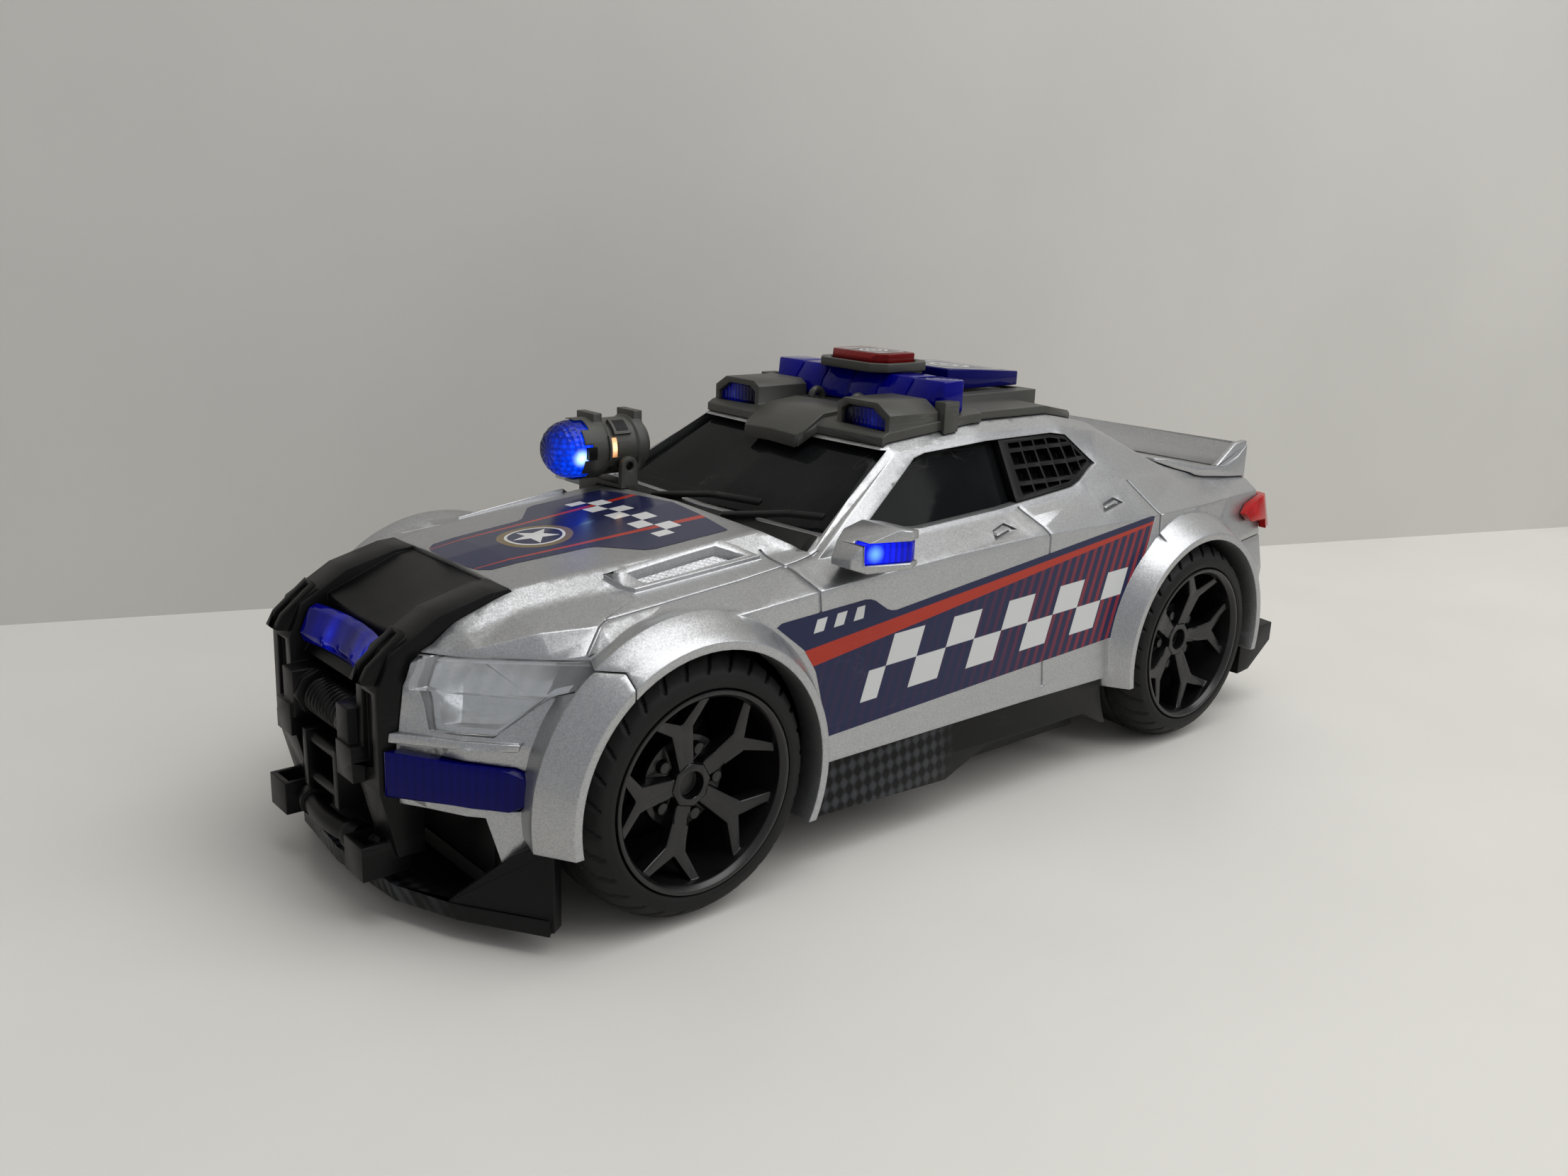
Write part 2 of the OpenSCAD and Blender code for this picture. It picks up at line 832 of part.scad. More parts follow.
// Light bar: a row of cells with a bevelled front and thin dividers
lightbar_cells = 6;
lightbar_wall = 1.4;
lightbar_bevel = 4;
divider_w = 0.8;
divider_d = 0.6;

module lightbar_profile(inset) {
  y0 = lightbar_y + inset;
  y1 = lightbar_y + lightbar_d - inset;
  z1 = deck_z + lightbar_h - inset;
  polygon([
    [y0, core_z], [y0, deck_z - overrun], [y0 + lightbar_bevel / 4, deck_z + lightbar_h / 3],
    [y0 + lightbar_bevel, z1], [y1 - lightbar_bevel / 2, z1], [y1, deck_z + lightbar_h / 2], [y1, core_z]
  ]);
}

module lightbar_lens() {
  pitch = lightbar_w / lightbar_cells;
  color(blue_clear, 0.8)
    difference() {
      intersection() {
        lightbar_zone(0);
        side_prism(-lightbar_w / 2, lightbar_w / 2) lightbar_profile(0);
        plan_prism(0, reach)
          cut_corners(lightbar_w, lightbar_y, lightbar_y + lightbar_d, lightbar_bevel);
      }
      side_prism(-lightbar_w / 2 + lightbar_bevel, lightbar_w / 2 - lightbar_bevel)
        lightbar_profile(lightbar_wall);
      for (i = [1:lightbar_cells - 1])
        translate([-lightbar_w / 2 + i * pitch, 0, 0])
          difference() {
            block([-divider_w / 2, -reach, core_z], [divider_w / 2, reach, reach]);
            side_prism(-divider_w, divider_w) lightbar_profile(divider_d);
          }
    }
}

module pod_lens(side) {
  color(blue_clear, 0.8)
    on_side(side)
      intersection() {
        pod(pod_wall + fit_gap);
        block([0, pod_y + overrun, pod_low_share * roof_h + fit_gap],
           [reach, pod_y + pod_l / 3 - fit_gap, reach]);
      }
}

// Push buttons over their return springs
button_wall = 1.6;
red_h = 2.8;
siren_h = 6.4;
siren_slope = 2;
spring_r = 3;
spring_wire = 0.5;
spring_turns = 3;
spring_bore_r = 3.9;
plunger_l = 4;

module red_button() {
  color(red_clear, 0.9)
    difference() {
      union() {
        intersection() {
          plan_prism(red_bottom, reach) cut_corners(red_w, red_y, red_back_y, plate_corner);
          side_prism(-red_w / 2, red_w / 2)
            polygon([
              [red_y, red_bottom], [red_back_y, red_bottom],
              [red_back_y, red_bottom + red_h / 2], [red_back_y - siren_slope, red_bottom + red_h],
              [red_y + siren_slope, red_bottom + red_h], [red_y, red_bottom + red_h / 2]
            ]);
        }
        plunger(0, red_bottom - plunger_l, red_bottom + overrun);
      }
      translate([0, (plunger_y + red_back_y - plate_rim) / 2, red_bottom - plunger_l - overrun])
        cylinder(h = plunger_l + button_wall + overrun, r = spring_bore_r);
    }
}

siren_bottom = deck_z - pocket_floor + button_travel + fit_gap;

module siren_button() {
  color(blue_clear, 0.9)
    difference() {
      side_prism(-siren_w / 2, siren_w / 2)
        polygon([
          [siren_y, siren_bottom], [siren_y + siren_l, siren_bottom],
          [siren_y + siren_l, siren_bottom + siren_h - siren_slope], [siren_y, siren_bottom + siren_h]
        ]);
      centre_block(siren_w - 2 * button_wall, siren_y + button_wall, siren_y + siren_l - button_wall,
            siren_bottom - overrun, siren_bottom + siren_h - siren_slope - button_wall / 2);
    }
}

// Helical tube swept with flat sides along a rising circle.
function helix_points(r, wire, turns, height, steps, sides) = [
  for (i = [0:steps * turns])
    let (t = i / (steps * turns), a = 360 * t * turns, z = t * height)
    for (k = [0:sides - 1])
      let (b = 360 * k / sides, rr = r + wire / 2 * cos(b))
      [rr * cos(a), rr * sin(a), z + wire / 2 * sin(b)]
];

module helix(r, wire, turns, height, steps, sides) {
  points = helix_points(r, wire, turns, height, steps, sides);
  rings = steps * turns + 1;
  skin = [
    for (i = [0:rings - 2], k = [0:sides - 1])
      let (a = i * sides + k, b = i * sides + (k + 1) % sides)
      each [[a, b + sides, b], [a, a + sides, b + sides]]
  ];
  first = [for (k = [0:sides - 1]) k];
  last = [for (k = [sides - 1:-1:0]) (rings - 1) * sides + k];
  polyhedron(points, concat(skin, [first, last]), convexity = 10);
}

spring_steps = 12;
wire_sides = 6;
spring_seat = 0.1;

module button_spring(y, z0, z1) {
  color(steel_bright)
    translate([0, y, z0 + spring_seat + spring_wire / 2])
      helix(spring_r, spring_wire, spring_turns, z1 - z0 - spring_wire - 2 * spring_seat,
         spring_steps, wire_sides);
}

module red_button_spring() {
  button_spring((plunger_y + red_back_y - plate_rim) / 2, deck_z + pocket_floor, red_bottom + button_wall);
}

module siren_button_spring() {
  button_spring(siren_y + siren_l / 2, deck_z - pocket_floor,
         siren_bottom + siren_h - siren_slope - button_wall / 2);
}

// Circuit board under the console, in the cavity of the deck
board_t = 1;

module roof_board() {
  y0 = platform_y[0] + 2 * wall + fit_gap;
  y1 = platform_y[1] - 2 * wall - fit_gap;
  color(board_green)
    centre_block(board_cavity_w - 2 * fit_gap, y0, y1,
          roof_h + board_cavity_h - fit_gap - board_t, roof_h + board_cavity_h - fit_gap);
}

// Duck-tail spoiler with end fins
spoiler_shares = [
  [0.65, 0.74], [0.65, 0.83], [0.7, 0.822], [0.81, 0.785], [0.9, 0.775], [0.955, 0.8],
  [0.985, 0.835], [0.995, 0.835], [0.992, 0.7]
];
spoiler_plan_shares = [
  [-0.66, 0.66], [0.66, 0.66], [0.715, 0.78], [0.7, 0.99], [0.4, 1.005], [-0.4, 1.005], [-0.7, 0.99],
  [-0.715, 0.78]
];
fin_shares = [[0.86, 0.7], [0.875, 0.78], [0.94, 0.845], [0.985, 0.85], [0.992, 0.7]];
fin_t = 2.2;
spoiler_half_share = 0.7;

module spoiler() {
  fin_x = spoiler_half_share * half_w;
  color(silver_paint)
    difference() {
      union() {
        intersection() {
          side_prism(-half_w, half_w) polygon(lift(spoiler_shares, half_l, roof_h));
          plan_prism(0, reach) polygon(lift(spoiler_plan_shares, half_w, half_l));
        }
        both_sides()
          side_prism(fin_x - fin_t, fin_x) polygon(lift(fin_shares, half_l, roof_h));
      }
      body_form(fit_gap);
    }
}

// Tail lights wrap the rear corners
tail_out = 2.6;
tail_shares = [
  [0.87, 0.645], [0.9, 0.668], [0.97, 0.682], [1.05, 0.682], [1.05, 0.575], [0.985, 0.575], [0.98, 0.605],
  [0.9, 0.615]
];
tail_in_share = 0.55;

module tail_light(side) {
  color(red_clear, 0.9)
    on_side(side)
      difference() {
        intersection() {
          side_prism(tail_in_share * half_w, reach) polygon(lift(tail_shares, half_l, roof_h));
          body_form(tail_out);
        }
        body_form(fit_gap);
      }
}

// Lower black mouldings
pan_z = 10;
floor_t = 2.4;
tub_half_w = 55;
rail_half_w = wheel_in_x - hub_in - well_t - fit_gap;
pan_front_in = 19;
pan_rear_in = 20;
mid_gap = 4.4;
tub_wall_share = 0.25;
front_wall_share = 0.444;
pan_front_y = -half_l + pan_front_in;
pan_rear_y = half_l - pan_rear_in;
mid_rear_y = axle_y - well_r - mid_gap;
mid_front_y = -mid_rear_y;
tub_wall_z = tub_wall_share * roof_h;
front_wall_z = front_wall_share * roof_h;
front_wall_half_w = 44;

diffuser_shares = [[0.885, 0.115], [0.93, 0.12], [1.031, 0.22], [1.031, 0.262], [0.885, 0.252]];
diffuser_plan_shares = [[-0.96, 0.8], [0.96, 0.8], [0.95, 1.01], [0.5, 1.05], [-0.5, 1.05], [-0.95, 1.01]];

module rear_diffuser() {
  color(black_plastic)
    difference() {
      intersection() {
        side_prism(-half_w, half_w) polygon(lift(diffuser_shares, half_l, roof_h));
        plan_prism(0, reach) polygon(lift(diffuser_plan_shares, half_w, half_l));
      }
      body_form(fit_gap);
      both_sides() rod_x(0, reach, flare_r + fit_gap, axle_y, axle_z);
    }
}

splitter_plan_shares = [
  [-0.95, -0.862], [-0.66, -0.94], [-0.4, -0.985], [0, -1], [0.4, -0.985], [0.66, -0.94], [0.95, -0.862],
  [0.9, -0.845], [-0.9, -0.845]
];
splitter_back_shares = [-0.885, -0.86];
splitter_z = 5.5;
splitter_t = 4;
winglet_x_share = 0.62;
winglet_y_share = -0.945;
winglet_l = 26;
winglet_shares = [[0, 0.055], [1, 0.055], [1, 0.244], [0.76, 0.236], [0.6, 0.215], [0, 0.09]];
winglet_t = 4;
winglet_turn = 34;
splitter_back_h = 8;

module front_splitter() {
  color(black_plastic)
    difference() {
      union() {
        plan_prism(splitter_z, splitter_z + splitter_t)
          polygon(lift(splitter_plan_shares, half_w, half_l));
        centre_block(2 * winglet_x_share * half_w, splitter_back_shares[0] * half_l,
              splitter_back_shares[1] * half_l, splitter_z, splitter_z + splitter_back_h);
        both_sides()
          translate([winglet_x_share * half_w, winglet_y_share * half_l, 0])
            rotate([0, 0, winglet_turn])
              front_prism(0, winglet_t) polygon(lift(winglet_shares, winglet_l, roof_h));
      }
      body_form(fit_gap);
      arches(arch_r);
      both_sides() rod_x(0, wheel_in_x + well_out, well_r + fit_gap, -axle_y, axle_z);
      centre_block(2 * front_wall_half_w + 2 * fit_gap, pan_front_y - fit_gap, 0, 0, reach);
    }
}

skirt_shares = [
  [-0.41, 0.264], [-0.41, 0.13], [-0.07, 0.108], [0.04, 0.17], [0.32, 0.164], [0.38, 0.117], [0.46, 0.11],
  [0.46, 0.26]
];
skirt_out_share = 0.975;

module side_skirt(side) {
  color(black_plastic)
    on_side(side)
      difference() {
        side_prism(tub_half_w + fit_gap, skirt_out_share * half_w)
          polygon(lift(skirt_shares, half_l, roof_h));
        body_form(fit_gap);
        for (y = [-axle_y, axle_y])
          rod_x(0, reach, flare_r + fit_gap, y, axle_z);
      }
}

// Chassis pan with bearing blocks, wheel wells, battery bay and screw bosses
bearing_l = 10;
bearing_half = 6;
bearing_top = 7;
well_out = 10;
bay_gap = 0.4;
bay_y = 12;
bay_wall = 1.6;
bay_ledge = 1.4;
contact_room = 3.2;
bay_in_w = cell_l + contact_room;
bay_in_l = cell_n * (cell_d + bay_gap) + bay_gap;
bay_in_h = cell_d + 2 * bay_gap;
cover_gap = 0.3;
boss_r = 5.6;
counterbore_z = 14;
speaker_y = -30;
speaker_r = 19;
speaker_h = 11;
speaker_ring_t = 1.6;
speaker_ring_h = 4;
grille_slot_w = 2;
grille_slot_n = 7;
switch_away = 17.8;
switch_slot_w = 12;
switch_slot_l = 5;
switch_travel = 3;
standoff_h = 2;
standoff_r = 2.2;
main_board_w = 48;
main_board_l = 36;

switch_y = bay_y + bay_in_l + switch_away;
floor_top = pan_z + floor_t;
bay_top = floor_top + bay_in_h + bay_gap;

module well_liner(y) {
  translate([rail_half_w - overrun, y, axle_z])
    rotate([0, 90, 0])
      difference() {
        cylinder(h = well_out, r = well_r);
        translate([0, 0, overrun + well_t]) cylinder(h = well_out, r = well_r - well_t);
      }
}

module tub(half, y0, y1, z1) {
  difference() {
    block([-half, y0, pan_z], [half, y1, z1]);
    block([-half + wall, y0 + wall, floor_top], [half - wall, y1 - wall, reach]);
  }
}

module chassis_pan() {
  color(black_plastic)
    difference() {
      union() {
        difference() {
          union() {
            tub(rail_half_w, pan_front_y, pan_rear_y, tub_wall_z);
            tub(tub_half_w, mid_front_y, mid_rear_y, tub_wall_z);
          }
          block([-rail_half_w + wall, pan_front_y + wall, floor_top],
             [rail_half_w - wall, pan_rear_y - wall, reach]);
          block([-tub_half_w + wall, mid_front_y + wall, floor_top],
             [tub_half_w - wall, mid_rear_y - wall, reach]);
        }
        centre_block(2 * front_wall_half_w, pan_front_y, pan_front_y + wall, pan_z, front_wall_z);
        both_sides()
          for (y = [-axle_y, axle_y]) {
            intersection() {
              well_liner(y);
              block([0, -reach, pan_z], [reach, reach, reach]);
            }
            block([rail_half_w - bearing_l, y - bearing_half, pan_z],
               [rail_half_w, y + bearing_half, axle_z + bearing_top]);
          }
        centre_block(bay_in_w + 2 * bay_wall, bay_y - bay_wall, bay_y + bay_in_l + bay_wall,
              pan_z, bay_top + bay_wall);
        translate([0, speaker_y, pan_z])
          cylinder(h = floor_t + speaker_ring_h, r = speaker_r + fit_gap + speaker_ring_t);
        at_posts() translate([0, 0, pan_z]) cylinder(h = post_foot_z - pan_z, r = boss_r);
        for (x = [-1, 1], y = [-1, 1])
          translate([x * (main_board_w / 2 - 2 * standoff_r),
               bay_y + bay_in_l / 2 + y * (main_board_l / 2 - 2 * standoff_r), bay_top])
            cylinder(h = bay_wall + standoff_h, r = standoff_r);
      }
      for (y = [-axle_y, axle_y])
        rod_x(-reach, reach, axle_d / 2 + axle_gap, y, axle_z);
      centre_block(bay_in_w, bay_y, bay_y + bay_in_l, floor_top + fit_gap, bay_top);
      centre_block(bay_in_w + 2 * bay_ledge - 2 * fit_gap, bay_y, bay_y + bay_in_l, -overrun,
            floor_top + fit_gap);
      translate([0, speaker_y, floor_top]) cylinder(h = reach, r = speaker_r + fit_gap);
      for (k = [0:grille_slot_n - 1]) {
        slot_y = speaker_y + (k - (grille_slot_n - 1) / 2) * 2 * grille_slot_w;
        centre_block(speaker_r, slot_y - grille_slot_w / 2, slot_y + grille_slot_w / 2,
              pan_z - overrun, floor_top + overrun);
      }
      centre_block(switch_slot_w, switch_y - switch_slot_l / 2, switch_y + switch_slot_l / 2,
            pan_z - overrun, floor_top + overrun);
      at_posts() {
        translate([0, 0, pan_z - overrun])
          cylinder(h = counterbore_z - pan_z + overrun, r = screw_head_r + fit_gap);
        translate([0, 0, pan_z]) cylinder(h = reach, r = screw_r + screw_gap);
      }
    }
}

module body_screws() {
  color(steel_bright)
    at_posts() {
      translate([0, 0, counterbore_z - screw_head_h]) cylinder(h = screw_head_h, r = screw_head_r);
      translate([0, 0, counterbore_z - screw_head_h]) cylinder(h = screw_l, r = screw_r);
    }
}

// Battery cover with finger ribs, and what lies above it
rib_n = 5;
rib_w = 1.2;
rib_d = 0.8;

module battery_cover() {
  w = bay_in_w + 2 * bay_ledge - 2 * fit_gap - 2 * cover_gap;
  color(black_plastic)
    difference() {
      centre_block(w, bay_y + cover_gap, bay_y + bay_in_l - cover_gap, pan_z, floor_top);
      for (k = [0:rib_n - 1])
        centre_block(w / 3, bay_y + bay_in_l / 2 + (k - (rib_n - 1) / 2) * 2 * rib_w,
              bay_y + bay_in_l / 2 + (k - (rib_n - 1) / 2) * 2 * rib_w + rib_w,
              pan_z - overrun, pan_z + rib_d);
    }
}

nub_r = 2.7;
nub_l = 1.2;
contact_t = 0.4;

module batteries() {
  color(steel_bright)
    for (k = [0:cell_n - 1]) {
      y = bay_y + bay_gap + cell_d / 2 + k * (cell_d + bay_gap);
      z = floor_top + fit_gap + cell_d / 2;
      rod_x(-cell_l / 2, cell_l / 2 - nub_l, cell_d / 2, y, z);
      rod_x(cell_l / 2 - nub_l - overrun, cell_l / 2, nub_r, y, z);
    }
}

module battery_contacts() {
  color(steel_bright)
    both_sides()
      for (k = [0:cell_n - 1])
        block([bay_in_w / 2 - contact_t, bay_y + bay_gap + k * (cell_d + bay_gap) + cell_d / 5,
           floor_top + fit_gap + cell_d / 5],
           [bay_in_w / 2, bay_y + bay_gap + k * (cell_d + bay_gap) + 4 * cell_d / 5,
           floor_top + fit_gap + 4 * cell_d / 5]);
}

speaker_cone_r = 8;
magnet_r = 9;
speaker_frame_h = 3;

module speaker() {
  color(rubber_black)
    translate([0, speaker_y, floor_top + fit_gap])
      rotate_extrude()
        polygon([
          [0, speaker_frame_h / 2], [speaker_cone_r, speaker_frame_h / 2],
          [speaker_r - speaker_frame_h, 0], [speaker_r, 0], [speaker_r, speaker_frame_h],
          [magnet_r, speaker_h / 2], [magnet_r, speaker_h], [0, speaker_h]
        ]);
}

chip_w = 10;
chip_h = 2;

module main_board() {
  z0 = bay_top + bay_wall + standoff_h;
  y = bay_y + bay_in_l / 2;
  color(board_green) {
    centre_block(main_board_w, y - main_board_l / 2, y + main_board_l / 2, z0, z0 + board_t);
    for (x = [-1, 1])
      translate([x * chip_w, y, z0 + board_t])
        centre_block(chip_w, -chip_w / 2, chip_w / 2, -board_t / 2, chip_h);
  }
}

knob_w = 5;
knob_out = 1.6;
knob_flange = 2.4;

module switch_knob() {
  color(black_plastic) {
    centre_block(knob_w, switch_y - switch_slot_l / 2 + fit_gap, switch_y + switch_slot_l / 2 - fit_gap,
          pan_z - knob_out, floor_top + fit_gap + overrun);
    centre_block(knob_w + 2 * knob_flange, switch_y - switch_slot_l / 2 - knob_flange,
          switch_y + switch_slot_l / 2 + knob_flange, floor_top + fit_gap, floor_top + fit_gap + overrun);
  }
}

// Wheels, drawn with their axis along Z and the outer face upwards
lip_h = 1.4;
barrel_t = 2;
dish = 6;
hub_r = 5.6;
hub_bore_r = 3.4;
hub_depth = 3;
spoke_w = 3.6;
fork_r = 14.6;
fork_w = 2.4;
fork_angle = 21;
spoke_t = 4;
rib_angle = 21;
rib_r = 15.5;
rib_t = 1;
lug_r = 1.5;
lug_circle_r = 8.6;
front_turn = 51;
rear_turn = 20;
step_h = 8;
axle_end = 3;

function polar(r, a) = [r * cos(a), r * sin(a)];

// One Y-forked spoke as an outline of straight edges
module spoke_outline() {
  seat_r = rim_d / 2 - barrel_t / 2;
  a = atan2(spoke_w / 2, hub_r);
  tip = fork_w / 2 / seat_r * 180 / PI;
  polygon([
    polar(hub_r - overrun, -a), polar(fork_r, -a / 2), polar(seat_r, -fork_angle - tip),
    polar(seat_r, -fork_angle + tip), polar(fork_r + fork_w, 0),
    polar(seat_r, fork_angle - tip), polar(seat_r, fork_angle + tip), polar(fork_r, a / 2),
    polar(hub_r - overrun, a)
  ]);
}

module rim_spokes() {
  face = tyre_w - lip_h;
  intersection() {
    linear_extrude(tyre_w)
      for (k = [0:spoke_n - 1])
        rotate(360 * k / spoke_n) {
          spoke_outline();
          for (side = [-1, 1])
            stroke(polar(hub_r - overrun, side * rib_angle), polar(rib_r, side * rib_angle / 2.2), rib_t);
        }
    rotate_extrude()
      polygon([
        [0, face - dish - spoke_t], [rim_d / 2, face - spoke_t - lip_h], [rim_d / 2, face - lip_h],
        [fork_r, face - lip_h - dish / 3], [0, face - dish]
      ]);
  }
}

module rim() {
  seat_r = rim_d / 2 - fit_gap / 6;
  face = tyre_w - lip_h;
  color(black_plastic)
    difference() {
      union() {
        rotate_extrude()
          polygon([
            [seat_r - barrel_t, 0], [seat_r, 0], [seat_r, tyre_w], [seat_r - barrel_t / 2, tyre_w],
            [seat_r - barrel_t, face], [seat_r - barrel_t, face - step_h],
            [seat_r - 2 * barrel_t, face - 2 * step_h], [seat_r - 2 * barrel_t, 0]
          ]);
        rim_spokes();
        translate([0, 0, -hub_in]) cylinder(h = face - dish + hub_in + lip_h, r = hub_r, $fn = 8);
        for (k = [0:spoke_n - 1])
          rotate(360 * (k + 0.5) / spoke_n)
            translate([lug_circle_r, 0, face - dish - spoke_t])
              cylinder(h = spoke_t, r = lug_r, $fn = small_fn);
        translate([0, 0, face - dish - 1.5 * spoke_t])
          cylinder(h = spoke_t, r = lug_circle_r + 2 * lug_r);
      }
      translate([0, 0, face - dish + lip_h - hub_depth]) cylinder(h = reach, r = hub_bore_r);
      translate([0, 0, -hub_in - overrun])
        cylinder(h = face - dish - hub_depth - axle_end + hub_in + overrun + fit_gap,
            r = axle_d / 2 + axle_gap / 6);
    }
}

groove_span = 5;
tread_w = 1.1;
tread_d = 1;
shoulder_in = 4;
shoulder_drop = 3.4;

module tyre() {
  r = tyre_d / 2;
  seat_r = rim_d / 2;
  color(rubber_black)
    difference() {
      rotate_extrude()
        polygon([
          [seat_r, overrun], [r - shoulder_drop, 0], [r, shoulder_in], [r, tyre_w - 2 * shoulder_in],
          [r - shoulder_drop / 3, tyre_w - shoulder_in], [r - shoulder_drop, tyre_w - overrun],
          [seat_r + overrun, tyre_w], [seat_r, tyre_w - overrun / 2]
        ]);
      for (k = [0:tread_n - 1])
        rotate(360 * k / tread_n)
          block([r - tread_d, -tread_w / 2, tyre_w - shoulder_in - groove_span],
             [r + overrun, tread_w / 2, tyre_w]);
    }
}

// Puts a wheel on one side at one axle: end 1 is the rear, -1 the front.
module at_wheel(side, end) {
  on_side(side)
    translate([wheel_in_x, end * axle_y, axle_z])
      rotate([0, 90, 0])
        rotate(end < 0 ? front_turn : rear_turn)
          children();
}

module axle(end) {
  x = wheel_in_x + tyre_w - lip_h - dish - hub_depth - axle_end;
  color(steel_bright)
    rod_x(-x, x, axle_d / 2, end * axle_y, axle_z);
}

// Push bar
upright_shares = [
  [-0.8, 0.716], [-0.83, 0.713], [-0.912, 0.68], [-0.985, 0.614], [-1.008, 0.54], [-1.01, 0.32],
  [-0.985, 0.165], [-0.945, 0.165], [-0.935, 0.58], [-0.8, 0.66]
];
panel_shares = [
  [-0.8, 0.706], [-0.83, 0.702], [-0.945, 0.632], [-0.945, 0.17], [-0.925, 0.17], [-0.925, 0.58], [-0.8, 0.66]
];
panel_sag = 1.2;
panel_r = (upright_in_x * upright_in_x + panel_sag * panel_sag) / (2 * panel_sag);
strip_sag = 2.4;
strip_half = upright_in_x - 2 * fit_gap;
strip_r = (strip_half * strip_half + strip_sag * strip_sag) / (2 * strip_sag);
strip_y_share = -0.984;
strip_depth = 5.4;
strip_shares = [[1, 0.615], [0.55, 0.608], [0, 0.556], [0.15, 0.533], [1, 0.533]];
crossbar_shares = [[-0.94, 0.528], [-0.975, 0.528], [-0.985, 0.505], [-0.97, 0.485], [-0.94, 0.485]];
drum_y_share = -0.985;
drum_z_share = 0.425;
drum_y = drum_y_share * half_l;
drum_z = drum_z_share * roof_h;
winch_side = 6.4;
drum_half = upright_in_x - winch_side;
cheek_t = 2;
winch_block_h = 12;
winch_block_d = 12;
gear_box = [9, 8, 8.5];
gear_in = 3.4;
gear_shares = [-1.0275, 0.324];
gear_place = [upright_in_x + gear_in - gear_box[0], gear_shares[0] * half_l, gear_shares[1] * roof_h];
tube_bow = 5;
tube_in = 2;
tube_shares = [-0.98, 0.162];
tube_y = tube_shares[0] * half_l;
tube_z = tube_shares[1] * roof_h;
tube_half = upright_in_x + tube_in;
tube_r = (tube_half * tube_half + tube_bow * tube_bow) / (2 * tube_bow);
tube_angle = asin(tube_half / tube_r);
collar_d = 7.2;
collar_w = 4;
collar_share = 0.605;
fairlead_x = 10;
fairlead_y_shares = [-1.019, -0.943];
fairlead_z_shares = [0.241, 0.333];
fairlead_y = fairlead_y_shares[0] * half_l;
fairlead_z = fairlead_z_shares * roof_h;
fairlead_t = 2.4;
roller_d = 3;
hook_box = [10, 12, 8.5];
hook_wall = 1.6;
hook_in = 3.4;
hook_shares = [-0.996, 0.117];
hook_centre = [upright_in_x + hook_in, hook_shares[0] * half_l, hook_shares[1] * roof_h];
pocket_w = 5;
pocket_d = 1.6;
pocket_z_shares = [0.37, 0.53];
clip_shares = [[-0.958, 0.655], [-1.012, 0.588], [-1.024, 0.556], [-0.99, 0.545], [-0.95, 0.6]];
clip_in = 2.2;

module uprights() {
  both_sides()
    side_prism(upright_in_x, bar_x) polygon(lift(upright_shares, half_l, roof_h));
}

// Turns about the upright axis in front of a bowed piece; the arc faces the front when the bow is positive.
module bowed(r, y, angle) {
  translate([0, y + r, 0])
    rotate([0, 0, 270 - angle])
      rotate_extrude(angle = 2 * angle)
        children();
}

module lower_tube() {
  bowed(tube_r, tube_y - tube_bow, tube_angle)
    translate([tube_r, tube_z]) circle(d = tube_d, $fn = small_fn);
}

module tube_collars() {
  turn = collar_w / tube_r * 180 / PI;
  for (side = [-1, 1])
    translate([0, tube_y - tube_bow + tube_r, 0])
      rotate([0, 0, side * asin(collar_share * tube_half / tube_r)])
        translate([0, -tube_y + tube_bow - tube_r, 0])
          bowed(tube_r, tube_y - tube_bow, turn / 2)
            translate([tube_r, tube_z]) circle(d = collar_d, $fn = small_fn);
}

module hook_boxes() {
  both_sides()
    translate(hook_centre)
      difference() {
        translate([-hook_box[0] / 2, -hook_box[1] / 2, 0]) cube(hook_box);
        translate([-hook_box[0] / 2 + hook_wall, -hook_box[1] / 2 + hook_wall, hook_wall])
          cube([hook_box[0] - 2 * hook_wall, hook_box[1] - 2 * hook_wall, hook_box[2]]);
      }
}

// Shallow valley along the slope of the top panel
module panel_valley() {
  high = lift(panel_shares, half_l, roof_h)[1];
  low = lift(panel_shares, half_l, roof_h)[2];
  slope = low - high;
  translate([0, high[0], high[1] - panel_sag])
    rotate([atan2(-slope[1], -slope[0]), 0, 0])
      translate([0, 0, panel_r])
        rotate([90, 0, 0])
          cylinder(h = 2 * norm(slope), r = panel_r, center = true);
}

